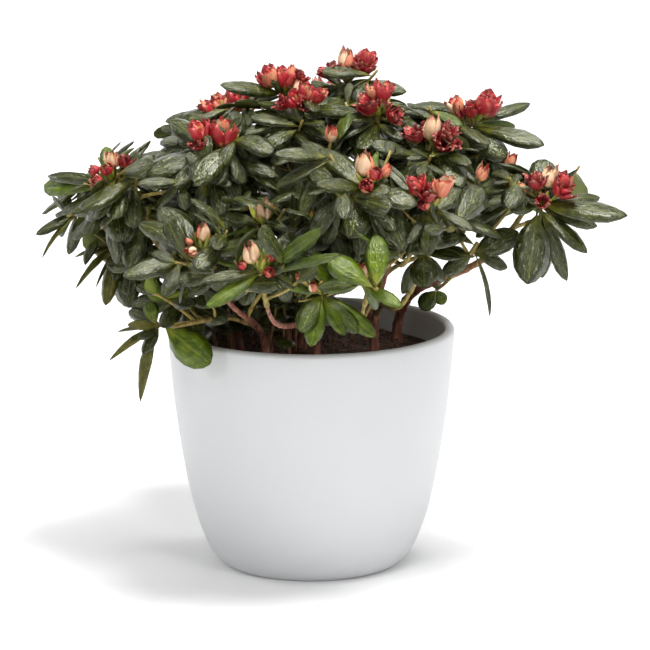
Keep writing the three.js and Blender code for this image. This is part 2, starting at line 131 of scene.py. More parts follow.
soft_lamp("lamp_above", (0.20, -0.25, 1.4), 0.6, 29.5)
soft_lamp("lamp_right", (1.15, -1.55, 0.9), 0.7, 9.2)
soft_lamp("lamp_left", (-1.1, -1.55, 0.8), 0.7, 8.2)
soft_lamp("lamp_backdrop", (0, 1.3, 2.4), 1.2, 60, (0, 3.3, 0.7))
soft_lamp("lamp_floor_left", (-1.5, 0.7, 0.9), 0.8, 6.5, (-0.35, 0, 0))
soft_lamp("lamp_floor_right", (1.5, 0.7, 0.9), 0.8, 5, (0.35, 0, 0))

room = bpy.data.worlds.new("white_room")
room.use_nodes = True
room.node_tree.nodes["Background"].inputs["Color"].default_value = (1, 1, 1, 1)
room.node_tree.nodes["Background"].inputs["Strength"].default_value = 0.36
bpy.context.scene.world = room
bpy.context.scene.view_settings.view_transform = "Standard"

# %% [markdown]
# ## The planter
# A cast earthenware bowl with a matt white glaze. It is a solid of revolution: its wall runs on one smooth
# curve from a small flat foot to a thick round rim. A potter would throw it on a wheel, and we do nearly
# the same. We draw the outline by extruding one vertex from point to point and spin it round the axis.


# %% The outline, from the same sizes as the solid
def bezier(points, t):
    a, b, c, d = (np.array(p, float) for p in points)
    return (1 - t) ** 3 * a + 3 * t * (1 - t) ** 2 * b + 3 * t * t * (1 - t) * c + t**3 * d


pot_height, rim_radius, wall_thickness = 134.4, 80.0, 5.5
lip_radius = wall_thickness / 2
wall_points = [(47.6, 0), (65.5, 0), (77.1, 80), (rim_radius, pot_height - lip_radius)]


def wall_at(t, depth):
    """A point on the wall (radius, height), moved inwards from its outer face."""
    point = bezier(wall_points, t)
    ahead = bezier(wall_points, min(t + 1e-4, 1)) - bezier(wall_points, max(t - 1e-4, 0))
    ahead /= np.linalg.norm(ahead)
    return point + depth * np.array([-ahead[1], ahead[0]])


def wall_share(height):
    return next(t for t in np.linspace(0, 1, 2001) if bezier(wall_points, t)[1] >= height)


outer_wall = [wall_at(t, 0) for t in np.linspace(0, 1, 29)]
lip = [
    (rim_radius - lip_radius + lip_radius * math.cos(a), pot_height - lip_radius + lip_radius * math.sin(a))
    for a in np.linspace(0, math.pi, 11)[1:]
]
inner_wall = [wall_at(t, wall_thickness) for t in np.linspace(1, 0, 21)[1:]]
pot_outline = [(0, 0), *outer_wall, *lip, *inner_wall, (0, wall_thickness)]
print("outline points:", len(pot_outline))


# %% Spin it
def spun(name, outline, sides):
    """A closed solid of revolution from an outline of (radius, height) in millimetres."""
    bpy.ops.object.select_all(action="DESELECT")
    bpy.ops.mesh.primitive_plane_add(size=0.01)
    piece = bpy.context.object
    piece.name = name
    bpy.ops.object.mode_set(mode="EDIT")
    bpy.ops.mesh.merge(type="CENTER")
    here = Vector((outline[0][0], 0, outline[0][1])) * MM
    bpy.ops.transform.translate(value=here)
    for radius, height in outline[1:]:
        there = Vector((radius, 0, height)) * MM
        bpy.ops.mesh.extrude_region_move(TRANSFORM_OT_translate={"value": there - here})
        here = there
    bpy.ops.mesh.select_all(action="SELECT")
    bpy.ops.mesh.spin(steps=sides, angle=2 * math.pi, center=(0, 0, 0), axis=(0, 0, 1))
    weld()
    bpy.ops.object.shade_smooth()
    return piece


planter = spun("planter", pot_outline, 128)
print("planter faces:", len(planter.data.polygons))

# %% [markdown]
# ### Matt glaze
# The glaze is nearly white, cool, and dull. What tells it from plastic is that it isn't quite even: it
# pools a little, so its gloss drifts, and its skin has a fine egg-shell grain. Two noises do that, one
# coarse for the gloss and one fine for the grain.


# %% Nodes that the materials share
def noise(tree, scale, detail=2, stretch=(1, 1, 1), distortion=0):
    """A noise on object coordinates. Returns its value socket."""
    place = tree.nodes.new("ShaderNodeTexCoord")
    mapping = tree.nodes.new("ShaderNodeMapping")
    mapping.inputs["Scale"].default_value = stretch
    texture = tree.nodes.new("ShaderNodeTexNoise")
    texture.inputs["Scale"].default_value = scale
    texture.inputs["Detail"].default_value = detail
    texture.inputs["Distortion"].default_value = distortion
    tree.links.new(place.outputs["Object"], mapping.inputs["Vector"])
    tree.links.new(mapping.outputs["Vector"], texture.inputs["Vector"])
    return texture.outputs["Fac"]


def ramp(tree, value, *stops):
    """A colour ramp over a value: (position, colour) pairs."""
    node = tree.nodes.new("ShaderNodeValToRGB")
    while len(node.color_ramp.elements) < len(stops):
        node.color_ramp.elements.new(0.5)
    for element, (position, color) in zip(node.color_ramp.elements, stops):
        element.position = position
        element.color = (*color, 1)
    tree.links.new(value, node.inputs["Fac"])
    return node.outputs["Color"]


def spread(tree, value, low, high):
    """A value from 0 to 1 spread over another range."""
    node = tree.nodes.new("ShaderNodeMapRange")
    node.inputs["To Min"].default_value = low
    node.inputs["To Max"].default_value = high
    tree.links.new(value, node.inputs["Value"])
    return node.outputs["Result"]


def math_node(tree, operation, a, b=0.0):
    """A Math node on one or two values, each a socket or a number."""
    node = tree.nodes.new("ShaderNodeMath")
    node.operation = operation
    for socket, value in zip(node.inputs, (a, b)):
        if isinstance(value, (int, float)):
            socket.default_value = value
        else:
            tree.links.new(value, socket)
    return node.outputs[0]


def blend(tree, share, first, second):
    """Mix two colours, each a socket or a plain colour, by a share."""
    node = tree.nodes.new("ShaderNodeMix")
    node.data_type = "RGBA"
    for socket, value in ((node.inputs["Factor"], share), (node.inputs[6], first), (node.inputs[7], second)):
        if isinstance(value, tuple):
            socket.default_value = (*value, 1)
        else:
            tree.links.new(value, socket)
    return node.outputs[2]


def apart(tree, vector):
    """The three numbers of a vector socket, as sockets."""
    node = tree.nodes.new("ShaderNodeSeparateXYZ")
    tree.links.new(vector, node.inputs[0])
    return node.outputs


def relief(tree, principled, height, distance, strength=1.0):
    """Let a height stand out of the surface, on top of any relief that is there already."""
    node = tree.nodes.new("ShaderNodeBump")
    node.inputs["Distance"].default_value = distance
    node.inputs["Strength"].default_value = strength
    tree.links.new(height, node.inputs["Height"])
    if principled.inputs["Normal"].links:
        tree.links.new(principled.inputs["Normal"].links[0].from_socket, node.inputs["Normal"])
    for socket in ("Normal", "Coat Normal"):
        tree.links.new(node.outputs["Normal"], principled.inputs[socket])


# %% Glaze material
glaze, tree, principled = shader("matt_glaze", (0.522, 0.528, 0.538), 0.5)
tree.links.new(spread(tree, noise(tree, 14, 3), 0.42, 0.58), principled.inputs["Roughness"])
tone = ramp(tree, noise(tree, 9, 3), (0.3, (0.514, 0.520, 0.530)), (0.7, (0.530, 0.536, 0.546)))
tree.links.new(tone, principled.inputs["Base Color"])
relief(tree, principled, noise(tree, 900, 2), 0.00004)
relief(tree, principled, noise(tree, 45, 2), 0.0006, 0.35)
planter.data.materials.append(glaze)
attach(planter, "root")
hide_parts("pot")

# %% [markdown]
# ## The peat
# Potting peat is a dark, crumbly, fibrous mass. Under the loose crumbs there is a lumpy surface, which we
# spin like the pot and then push up and down with two Displace modifiers. A crumb is one of five small
# lumps and a fibre is a thin bent tube. Each kind is one joined mesh, because there are hundreds of them.

# %% Lumpy ground
SOIL_HEIGHT, SOIL_DOME, SOIL_RINGS = 117.4, 1.0, 46  # height at the wall, rise to the middle, rings of faces
side = [wall_at(t, wall_thickness + 0.3) for t in np.linspace(0, wall_share(SOIL_HEIGHT), 8)]
soil_radius, soil_top = side[-1]
rings = [
    (soil_radius * (1 - k / SOIL_RINGS), soil_top + SOIL_DOME * math.sin(k / SOIL_RINGS * math.pi / 2))
    for k in range(1, SOIL_RINGS)
]
peat = spun("peat_ground", [(0, side[0][1]), *side, *rings, (0, soil_top + SOIL_DOME)], 170)
group = peat.vertex_groups.new(name="top")
inside = [
    v.index
    for v in peat.data.vertices
    if v.co.z > (soil_top - 0.5) * MM and v.co.xy.length < soil_radius * 0.985 * MM
]
group.add(inside, 1.0, "REPLACE")
for lump, depth in ((0.011, 0.0042), (0.0032, 0.0018)):
    clods = bpy.data.textures.new("clods", "CLOUDS")
    clods.noise_scale = lump
    clods.noise_depth = 3
    push = peat.modifiers.new("push", "DISPLACE")
    push.texture = clods
    push.vertex_group = "top"
    push.direction = "Z"
    push.strength = depth
    alone(peat)
    bpy.ops.object.modifier_apply(modifier=push.name)
ground = np.array([peat.data.vertices[i].co[:] for i in inside])
print("ground from", round(ground[:, 2].min() / MM, 1), "to", round(ground[:, 2].max() / MM, 1), "mm")


def ground_level(spot):
    """The height of the peat at a spot, in millimetres."""
    return ground[np.argmin(((ground[:, :2] / MM - spot) ** 2).sum(1)), 2] / MM


# %% Blanks: one small mesh each, read into arrays so that it can be copied many times
class Blank:
    """The vertices, faces and UVs of a small mesh."""

    def __init__(self, places, faces, uvs):
        self.places, self.faces, self.uvs = places, faces, uvs
        self.corners = np.array([i for face in faces for i in face])
        self.starts = np.cumsum([0] + [len(face) for face in faces[:-1]])


def blank_of(obj):
    """Turn a modelled object into a blank."""
    mesh = obj.data
    places = np.array([v.co[:] for v in mesh.vertices])
    faces = [list(p.vertices) for p in mesh.polygons]
    uvs = np.array([d.uv[:] for d in mesh.uv_layers.active.data])
    bpy.data.objects.remove(obj)
    return Blank(places, faces, uvs)


class Heap:
    """Copies of blanks, joined into one mesh."""

    def __init__(self, name):
        self.name, self.count, self.total, self.loops = name, 0, 0, 0
        self.places, self.corners, self.starts, self.uvs = [], [], [], []

    def add(self, blank, places):
        """Add a copy of a blank with these vertex places, in millimetres."""
        self.places.append(np.asarray(places) * MM)
        self.corners.append(blank.corners + self.total)
        self.starts.append(blank.starts + self.loops)
        self.uvs.append(blank.uvs)
        self.total += len(places)
        self.loops += len(blank.corners)
        self.count += 1

    def piece(self, material, slot, *nodes):
        """The joined mesh as an object that rides on the frame and stands for the nodes."""
        mesh = bpy.data.meshes.new(self.name)
        places, corners = np.vstack(self.places), np.concatenate(self.corners)
        starts = np.concatenate(self.starts)
        mesh.vertices.add(len(places))
        mesh.vertices.foreach_set("co", places.ravel())
        mesh.loops.add(len(corners))
        mesh.loops.foreach_set("vertex_index", corners)
        mesh.polygons.add(len(starts))
        mesh.polygons.foreach_set("loop_start", starts)
        mesh.update(calc_edges=True)
        layer = mesh.uv_layers.new(name="flat")
        layer.data.foreach_set("uv", np.vstack(self.uvs).ravel())
        mesh.validate()
        mesh.shade_smooth()
        mesh.materials.append(material)
        obj = bpy.data.objects.new(self.name, mesh)
        bpy.context.collection.objects.link(obj)
        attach(obj, "root")
        if nodes:
            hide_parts(*nodes)
        print(self.name, "copies:", self.count, "faces:", len(starts))


# %% Crumbs and tubes
def crumb_blank(seed):
    bpy.ops.object.select_all(action="DESELECT")
    bpy.ops.mesh.primitive_ico_sphere_add(subdivisions=1, radius=1)
    bpy.ops.object.mode_set(mode="EDIT")
    bpy.ops.mesh.select_all(action="SELECT")
    bpy.ops.transform.vertex_random(offset=0.3, uniform=0.2, seed=seed)
    bpy.ops.object.mode_set(mode="OBJECT")
    return blank_of(bpy.context.object)


def round_section(sides, rings):
    """A tube of rings, closed at both ends, as a blank without places."""
    faces = [
        [r * sides + s, r * sides + (s + 1) % sides, (r + 1) * sides + (s + 1) % sides, (r + 1) * sides + s]
        for r in range(rings - 1)
        for s in range(sides)
    ]
    faces += [list(range(sides))[::-1], [(rings - 1) * sides + s for s in range(sides)]]
    uvs = np.array([((i % sides) / sides, (i // sides) / (rings - 1)) for face in faces for i in face])
    return Blank(None, faces, uvs)


SECTIONS = {}  # by number of sides and of rings


def add_tube(heap, path, radii, sides=6):
    """A closed tapering tube along a path of points, in millimetres."""
    path = np.asarray(path, float)
    key = (sides, len(path))
    if key not in SECTIONS:
        SECTIONS[key] = round_section(sides, len(path))
    ahead = np.gradient(path, axis=0)
    ahead /= np.linalg.norm(ahead, axis=1)[:, None]
    across = np.cross(ahead[0], [0.31, 0.17, 0.93])
    rings_made = []
    for place, along, radius in zip(path, ahead, radii):
        across = across - along * (across @ along)
        across /= np.linalg.norm(across)
        other = np.cross(along, across)
        turn = np.arange(sides) * 2 * math.pi / sides
        rings_made.append(place + radius * (np.cos(turn)[:, None] * across + np.sin(turn)[:, None] * other))
    heap.add(SECTIONS[key], np.vstack(rings_made))


# %% Strew them
CRUMBS, FIBRES = 1500, 190
rng = np.random.default_rng(4)
crumbs = Heap("peat_crumbs")
blanks = [crumb_blank(seed) for seed in range(1, 6)]
for i in range(CRUMBS):
    radius, angle = soil_radius * 0.97 * math.sqrt(rng.random()), rng.random() * 2 * math.pi
    spot = np.array([radius * math.cos(angle), radius * math.sin(angle)])
    size = 0.45 + 1.5 * rng.random() ** 4
    turn = np.array(Matrix.Rotation(rng.random() * 6.28, 3, Vector(rng.random(3) - 0.5).normalized()))
    squash = size * (0.7 + 0.6 * rng.random(3))
    blank = blanks[i % len(blanks)]
    crumbs.add(blank, (blank.places * squash) @ turn.T + [*spot, ground_level(spot) + size * 0.3])

fibres = Heap("peat_fibres")
for i in range(FIBRES):
    radius, angle = soil_radius * 0.9 * math.sqrt(rng.random()), rng.random() * 2 * math.pi
    length, heading = 5 + 9 * rng.random(), rng.random() * 2 * math.pi
    curl = (rng.random() - 0.5) * 1.6
    path = []
    for share in np.linspace(-0.5, 0.5, 6):
        a = heading + curl * share
        spot = np.array([radius * math.cos(angle), radius * math.sin(angle)])
        spot = spot + length * share * np.array([math.cos(a), math.sin(a)])
        if np.hypot(*spot) > soil_radius * 0.96:
            spot *= soil_radius * 0.96 / np.hypot(*spot)
        path.append([*spot, ground_level(spot) + 0.5 + 1.2 * rng.random() * (1 - abs(share) * 1.6)])
    add_tube(fibres, path, [0.16, 0.24, 0.26, 0.26, 0.22, 0.12], 4)

# %% [markdown]
# ### Peat colour
# Peat is never one brown. Wet hollows are almost black, dry crumbs are warmer, and fibres are straw
# coloured. One noise on object coordinates drives a colour ramp for each of them.


# %% Peat materials
def earth(name, dark, light, scale):
    material, tree, principled = shader(name, light, 0.92)
    tone = ramp(tree, noise(tree, scale, 4), (0.32, dark), (0.72, light))
    tree.links.new(tone, principled.inputs["Base Color"])
    relief(tree, principled, noise(tree, 1400, 4), 0.0004)
    return material


wet_peat = earth("wet_peat", (0.020, 0.010, 0.007), (0.10, 0.050, 0.030), 260)
dry_peat = earth("dry_peat", (0.030, 0.014, 0.009), (0.19, 0.095, 0.055), 420)
straw = earth("straw", (0.10, 0.050, 0.03), (0.30, 0.17, 0.095), 300)
peat.data.materials.append(wet_peat)
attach(peat, "root")
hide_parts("peat")
crumbs.piece(dry_peat, "peat")
fibres.piece(straw, "peat")

# %% [markdown]
# ## How the shrub grows
# The stems and boughs are where the frame's solids have them, because both are worked out by one rule from
# one table: each spray's heart is a direction and a reach from the middle of the peat, and smooth curves
# lead there. Here the rule is written again, and it goes further: finer shoots, more leaves, real buds.
# Lengths are in millimetres and are made metres only when a mesh is built.

# %% Sizes and the table of sprays
GOLDEN = 137.5
GAP = 0.3
UP = np.array([0.0, 0.0, 1.0])
hub = np.array([0.0, 0.0, 117.0])

stems = {  # distance and azimuth of the foot, radius there, radius at the tip
    "right": (60, 36, 3.8, 2.2),
    "rightBack": (52, 52, 2.8, 1.6),
    "middle": (36, 12, 3.2, 1.8),
    "front": (20, -80, 3.0, 1.5),
    "left": (40, -172, 3.4, 1.8),
    "frontLeft": (38, -130, 2.8, 1.5),
    "centre": (10, 120, 3.4, 1.8),
    "back": (42, 105, 3.2, 1.8),
}

# azimuth, elevation, reach, stem, where on it the bough forks off, size of the buds, and for some: seated on
# the stem itself (near), elevation of the spray's own stem (droop), another way to grow (seed)
sprays = {
    "right": (-20, 38, 167, "right", 1, 1, {}),
    "rightLow": (-33, 35, 130, "right", 0.5, 0, {"near": True, "seed": 1}),
    "farRight": (2, 29, 169, "right", 0.42, 0, {"droop": 16, "seed": 2}),
    "upperRightBack": (7, 57, 158, "rightBack", 1, 1, {}),
    "rearRight": (40, 33, 152, "rightBack", 0.3, 0.6, {}),
    "backRightHigh": (46, 55, 150, "rightBack", 0.6, 0.8, {}),
    "upperRight": (-35, 58, 150, "middle", 1, 1, {}),
    "frontRight": (-57, 42, 155, "middle", 0.5, 1, {}),
    "frontHigh": (-72, 48, 154, "middle", 0.35, 1, {}),
    "frontInner": (-48, 37, 120, "middle", 0.18, 0, {"seed": 1}),
    "frontLowLeft": (-102, 30, 147, "front", 1, 1, {}),
    "frontLow": (-74, 31, 142, "middle", 0.25, 0.6, {"seed": 5}),
    "frontSkirt": (-86, 27, 124, "front", 0.3, 0, {"droop": 14}),
    "frontMiddle": (-88, 54, 110, "centre", 0.42, 0.5, {"near": True}),
    "left": (-164, 44, 153, "left", 1, 1, {"seed": 1}),
    "leftLow": (180, 27, 131, "left", 0.4, 0, {"droop": 10}),
    "farLeft": (170, 34, 155, "left", 0.3, 0, {"droop": 20, "seed": 1}),
    "upperLeft": (-139, 61, 145, "left", 0.55, 1, {}),
    "frontLeft": (-119, 35, 141, "frontLeft", 1, 0.8, {}),
    "frontLeftHigh": (-106, 45, 130, "frontLeft", 0.5, 0.5, {}),
    "lowLeft": (-133, 17, 112, "frontLeft", 0.3, 0, {"droop": 0}),
    "top": (39, 82, 153, "centre", 1, 1, {}),
    "topRight": (-40, 71, 148, "centre", 0.6, 1, {}),
    "topLeft": (-139, 82, 144, "centre", 0.75, 1, {}),
    "upperLeftBack": (158, 64, 144, "centre", 0.45, 1, {}),
    "back": (92, 35, 148, "back", 1, 0.8, {}),
    "backHigh": (88, 60, 150, "back", 0.6, 1, {}),
    "backLeft": (122, 33, 148, "back", 0.5, 0.8, {}),
    "backLeftHigh": (134, 53, 148, "back", 0.68, 0.8, {"seed": 1}),
    "backLow": (104, 18, 114, "back", 0.3, 0, {"droop": 6}),
}
print(len(stems), "stems,", len(sprays), "sprays")


# %% Directions and seeded numbers
def unit(v):
    return v / math.sqrt(v @ v)


def towards(azimuth, elevation):
    a, e = math.radians(azimuth), math.radians(elevation)
    return np.array([math.cos(a) * math.cos(e), math.sin(a) * math.cos(e), math.sin(e)])


def leaning(axis, azimuth, angle):
    """The direction that leans away from an axis by an angle, on the side that an azimuth gives."""
    level = np.cross(UP, axis)
    side = np.array([1.0, 0, 0]) if level @ level < 1e-6 else unit(level)
    other = np.cross(axis, side)
    a, lean = math.radians(azimuth), math.radians(angle)
    return axis * math.cos(lean) + (side * math.cos(a) + other * math.sin(a)) * math.sin(lean)


def seeded(seed):
    """The same stream of numbers from 0 to 1 on every run."""
    state, whole = seed & 0xFFFFFFFF, 0xFFFFFFFF

    def draw():
        nonlocal state
        state = (state + 0x6D2B79F5) & whole
        mixed = ((state ^ (state >> 15)) * (state | 1)) & whole
        mixed ^= (mixed + (((mixed ^ (mixed >> 7)) * (mixed | 61)) & whole)) & whole
        return (mixed ^ (mixed >> 14)) / 4294967296

    return draw


SAMPLES = 121  # along each curve, to measure its length


class Growth:
    """A smooth curve that leaves one point in a direction and comes into another in a direction."""

    def __init__(self, start, leaving, end, arriving, sweep=0.38):
        span = math.dist(start, end)
        self.controls = np.array([start, start + leaving * span * sweep, end - arriving * span * sweep, end])
        points = np.array([self.point(t) for t in np.linspace(0, 1, SAMPLES)])
        steps = np.linalg.norm(np.diff(points, axis=0), axis=1)
        self.lengths = np.concatenate([[0], np.cumsum(steps)])
        self.length = self.lengths[-1]

    def point(self, t):
        return bezier(self.controls, t)

    def heading(self, t):
        a, b, c, d = self.controls
        return unit(3 * (1 - t) ** 2 * (b - a) + 6 * t * (1 - t) * (c - b) + 3 * t * t * (d - c))

    def time_at(self, share):
        return float(np.interp(share * self.length, self.lengths, np.linspace(0, 1, SAMPLES)))

    def path(self, count, start=0.0, end=1.0):
        """Evenly spaced points along it."""
        return np.array([self.point(self.time_at(s)) for s in np.linspace(start, end, count)])


# %% Where each spray sits, and the curves of the stems and boughs
STEM_LENGTH, UPRIGHTNESS = 30, 0.38


def place_of(name):
    azimuth, elevation, reach, *_, extra = sprays[name]
    outwards = towards(azimuth, elevation)
    heart = hub + outwards * reach
    rising = unit(outwards * (1 - UPRIGHTNESS) + UP * UPRIGHTNESS)
    axis = towards(azimuth, extra["droop"]) if "droop" in extra else rising
    return heart, axis, heart - axis * STEM_LENGTH


places = {name: place_of(name) for name in sprays}


def carried_by(stem):
    """The spray that a stem itself leads to."""
    return next(name for name, row in sprays.items() if row[3] == stem and row[4] == 1)


def stem_curve(stem):
    distance, azimuth, *_ = stems[stem]
    foot = towards(azimuth, 0) * distance
    foot[2] = soil_top + GAP
    _, axis, tip = places[carried_by(stem)]
    return Growth(foot, UP, tip, axis)


stem_curves = {stem: stem_curve(stem) for stem in stems}


def fork_curve(name, end):
    stem, fork = sprays[name][3:5]
    curve = stem_curves[stem]
    t = curve.time_at(fork)
    start = curve.point(t)
    leaving = unit(curve.heading(t) * 0.55 + unit(end - start) * 0.45)
    return Growth(start, leaving, end, places[name][1])


limbs = []  # name, curve, radius at the foot, radius at the tip
for stem, (_, _, foot, tip) in stems.items():
    limbs.append((f"stem_{stem}", stem_curves[stem], foot, tip))
for name, (_, _, _, stem, fork, _, extra) in sprays.items():
    if fork < 1 and "near" not in extra:
        foot = (stems[stem][2] * (1 - fork) + stems[stem][3] * fork) * 0.72
        limbs.append((f"bough_{name}", fork_curve(name, places[name][2]), foot, 1.5))
print("limbs:", len(limbs), "longest", round(max(curve.length for _, curve, _, _ in limbs)), "mm")

# %% [markdown]
# ## Bark
# Old azalea wood is thin, reddish brown and knobbly: each leaf that fell has left a scar, and the bark
# splits lengthwise into flakes. We draw each limb as a Curve with a round bevel and its own radius at each
# point, which gives the taper, the flare on the peat and a swelling at each scar. Made into a mesh, it gets
# its lumps from a Displace modifier with a clouds texture. Fine fissures are left to the bump.


# %% A limb as a bevelled curve
SLIMMER = 0.74  # the wood is thinner than its solids, which stand for bark, scars and flakes together
LIMB_STEP = 1.4  # mm between two points of a limb
FLARE, FLARE_HEIGHT = 0.45, 3.0  # how much thicker a stem is on the peat, and how soon that fades
SCAR, SCAR_LENGTH = 0.16, 1.1  # how much thicker a limb is at a leaf scar, and over how many mm


def limb_piece(name, curve, foot, tip):
    stem = name.startswith("stem")
    count = max(12, int(curve.length / LIMB_STEP))
    path = curve.path(count)
    draw = seeded(len(name) * 31 + ord(name[-1]) * 7 + ord(name[6]))
    foot, tip = foot * SLIMMER, tip * SLIMMER
    if stem:
        path = np.vstack([path[0] - UP * 2.0, path])
    data = bpy.data.curves.new(name, "CURVE")
    data.dimensions = "3D"
    data.bevel_depth = 1
    data.bevel_resolution = 4
    data.use_fill_caps = True
    line = data.splines.new("POLY")
    line.points.add(len(path) - 1)
    scars = np.cumsum([5 + 9 * draw() for _ in range(40)])
    for i, place in enumerate(path):
        along = i * LIMB_STEP
        radius = foot + (tip - foot) * i / (len(path) - 1)
        if stem:
            radius *= 1 + FLARE * math.exp(-along / FLARE_HEIGHT)
        radius *= 1 + SCAR * np.exp(-(((scars - along) / SCAR_LENGTH) ** 2)).max()
        line.points[i].co = (*place * MM, 1)
        line.points[i].radius = radius * MM
    obj = bpy.data.objects.new(name + "_bark", data)
    bpy.context.collection.objects.link(obj)
    alone(obj)
    bpy.ops.object.convert(target="MESH")
    obj = bpy.context.object
    lumps = bpy.data.textures.new("bark_lumps", "CLOUDS")
    lumps.noise_scale = 0.004
    lumps.noise_depth = 2
    push = obj.modifiers.new("push", "DISPLACE")
    push.texture = lumps
    push.strength = 0.0007
    bpy.ops.object.modifier_apply(modifier=push.name)
    bpy.ops.object.shade_smooth()
    return obj


bark_pieces = []
for kind, label in (("stem", "stems_bark"), ("bough", "boughs_bark")):
    made = [limb_piece(*limb) for limb in limbs if limb[0].startswith(kind)]
    alone(made[0])
    for obj in made[1:]:
        obj.select_set(True)
    bpy.ops.object.join()
    piece = bpy.context.object
    piece.name = label
    bpy.ops.object.mode_set(mode="EDIT")
    weld()
    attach(piece, "root")
    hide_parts(*[limb[0] for limb in limbs if limb[0].startswith(kind)])
    bark_pieces.append(piece)
    print(label, "faces:", len(piece.data.polygons))


# %% Bark material
BARK_STOPS = (0.30, 0.55, 0.78)
TURNING_LENGTH = 0.035  # metres of height over which old wood turns into young wood


def bark_finish(name, tones, turning=0.0, young=None):
    """Fissured bark in three tones. With young tones, it turns into them from the height called turning."""
    material, tree, principled = shader(name, tones[1], 0.72)
    stretched = noise(tree, 420, 4, (1, 1, 0.25), 0.6)
    tone = ramp(tree, stretched, *zip(BARK_STOPS, tones))
    if young:
        fresh = ramp(tree, stretched, *zip(BARK_STOPS, young))
        place = tree.nodes.new("ShaderNodeTexCoord")
        height = tree.nodes.new("ShaderNodeMapRange")
        height.inputs["From Min"].default_value = turning
        height.inputs["From Max"].default_value = turning + TURNING_LENGTH
        tree.links.new(apart(tree, place.outputs["Object"])[2], height.inputs["Value"])
        tone = blend(tree, height.outputs[0], tone, fresh)
    tree.links.new(tone, principled.inputs["Base Color"])
    relief(tree, principled, stretched, 0.0005, 0.9)
    relief(tree, principled, noise(tree, 2600, 3), 0.0001, 0.6)
    return material


OLD_WOOD = ((0.075, 0.024, 0.016), (0.27, 0.098, 0.060), (0.50, 0.28, 0.19))
YOUNG_WOOD = ((0.080, 0.028, 0.014), (0.240, 0.100, 0.050), (0.40, 0.24, 0.12))
GREEN_WOOD = ((0.095, 0.066, 0.012), (0.260, 0.196, 0.042), (0.42, 0.31, 0.11))
old_bark = bark_finish("old_bark", OLD_WOOD, 0.160, GREEN_WOOD)
young_bark = bark_finish("young_bark", YOUNG_WOOD, 0.122, GREEN_WOOD)
bark_pieces[0].data.materials.append(old_bark)
bark_pieces[1].data.materials.append(young_bark)

# %% [markdown]
# ## A leaf
# An azalea leaf is a small ellipse, widest beyond its middle, with a short point, a creased midrib and edges
# that roll down. It starts as a grid of five columns: each row is narrowed to the leaf's width there, and the
# columns are moved up or down to crease it. A coarser copy of the sheet closes the underside, so the leaf is
# a thin solid of four dozen faces. Petals and bracts are made the same way.


# %% A thin closed sheet from rows
COLUMNS = 5  # of vertices in each row


def sheet_blank(rows, thickness):
    """A closed sheet along +Y. A row: place along, half width, height of middle, inner and outer columns."""
    bpy.ops.object.select_all(action="DESELECT")
    bpy.ops.mesh.primitive_grid_add(x_subdivisions=COLUMNS - 1, y_subdivisions=len(rows) - 1, size=2)
    obj = bpy.context.object
    for loop, corner in zip(obj.data.loops, obj.data.uv_layers.active.data):
        row, column = divmod(loop.vertex_index, COLUMNS)
        corner.uv = (column / (COLUMNS - 1), rows[row][0])
    bpy.ops.object.mode_set(mode="EDIT")
    start = [-1 + 2 * k / (len(rows) - 1) for k in range(len(rows))]
    for k, (along, width, middle, inner, left, right) in enumerate(rows):
        for columns, height in (((2,), middle), ((1, 3), inner), ((0,), left), ((4,), right)):
            pick(lambda v: v.index // COLUMNS == k and v.index % COLUMNS in columns)
            bpy.ops.transform.translate(value=(0, along - start[k], height))
        pick(lambda v: v.index // COLUMNS == k)
        bpy.ops.transform.resize(value=(max(width, 0.001), 1, 1), center_override=(0, along, 0))
    bpy.ops.mesh.select_all(action="SELECT")
    bpy.ops.mesh.duplicate()
    bpy.ops.mesh.flip_normals()
    close_underside(obj, len(rows), thickness)
    bpy.ops.mesh.select_all(action="SELECT")
    bpy.ops.mesh.remove_doubles(threshold=2e-4)
    bpy.ops.object.mode_set(mode="OBJECT")
    return blank_of(obj)


def close_underside(obj, rows, thickness):
    """Lower the copy of the sheet inside its rim, mark its UVs, and leave out two of its lengthwise lines."""
    count = rows * COLUMNS
    mesh = bmesh.from_edit_mesh(obj.data)
    mesh.verts.index_update()
    uv = mesh.loops.layers.uv.active
    for face in mesh.faces:
        for loop in face.loops:
            if loop.vert.index >= count:
                loop[uv].uv.x += 2
    bmesh.update_edit_mesh(obj.data)

    def within_rim(vertex):
        row, column = divmod(vertex.index - count, COLUMNS)
        return 0 < row < rows - 1 and 0 < column < COLUMNS - 1

    pick(within_rim)
    bpy.ops.transform.translate(value=(0, 0, -thickness))
    bpy.ops.mesh.select_mode(type="EDGE")
    bpy.ops.mesh.select_all(action="DESELECT")
    mesh = bmesh.from_edit_mesh(obj.data)
    mesh.verts.index_update()
    for edge in mesh.edges:
        low, high = sorted(vertex.index - count for vertex in edge.verts)
        edge.select = low >= 0 and high - low == COLUMNS and low % COLUMNS in (1, 3)
    bmesh.update_edit_mesh(obj.data)
    bpy.ops.mesh.dissolve_edges(use_verts=True)


def leaf_rows(outline, half_width, crease, roll, wave):
    """Rows for a leaf: a pressed midrib, edges rolled down, and a wave that runs along them."""
    rows = []
    for share, width in outline:
        full = min(1, share * 5) * min(1, (1.02 - share) * 6)
        ripple = wave * math.sin(share * 11) * full
        heights = (-crease * full, 0.020 * full, (-roll + ripple) * full, (-roll - ripple) * full)
        rows.append((share, width * half_width, *heights))
    return rows


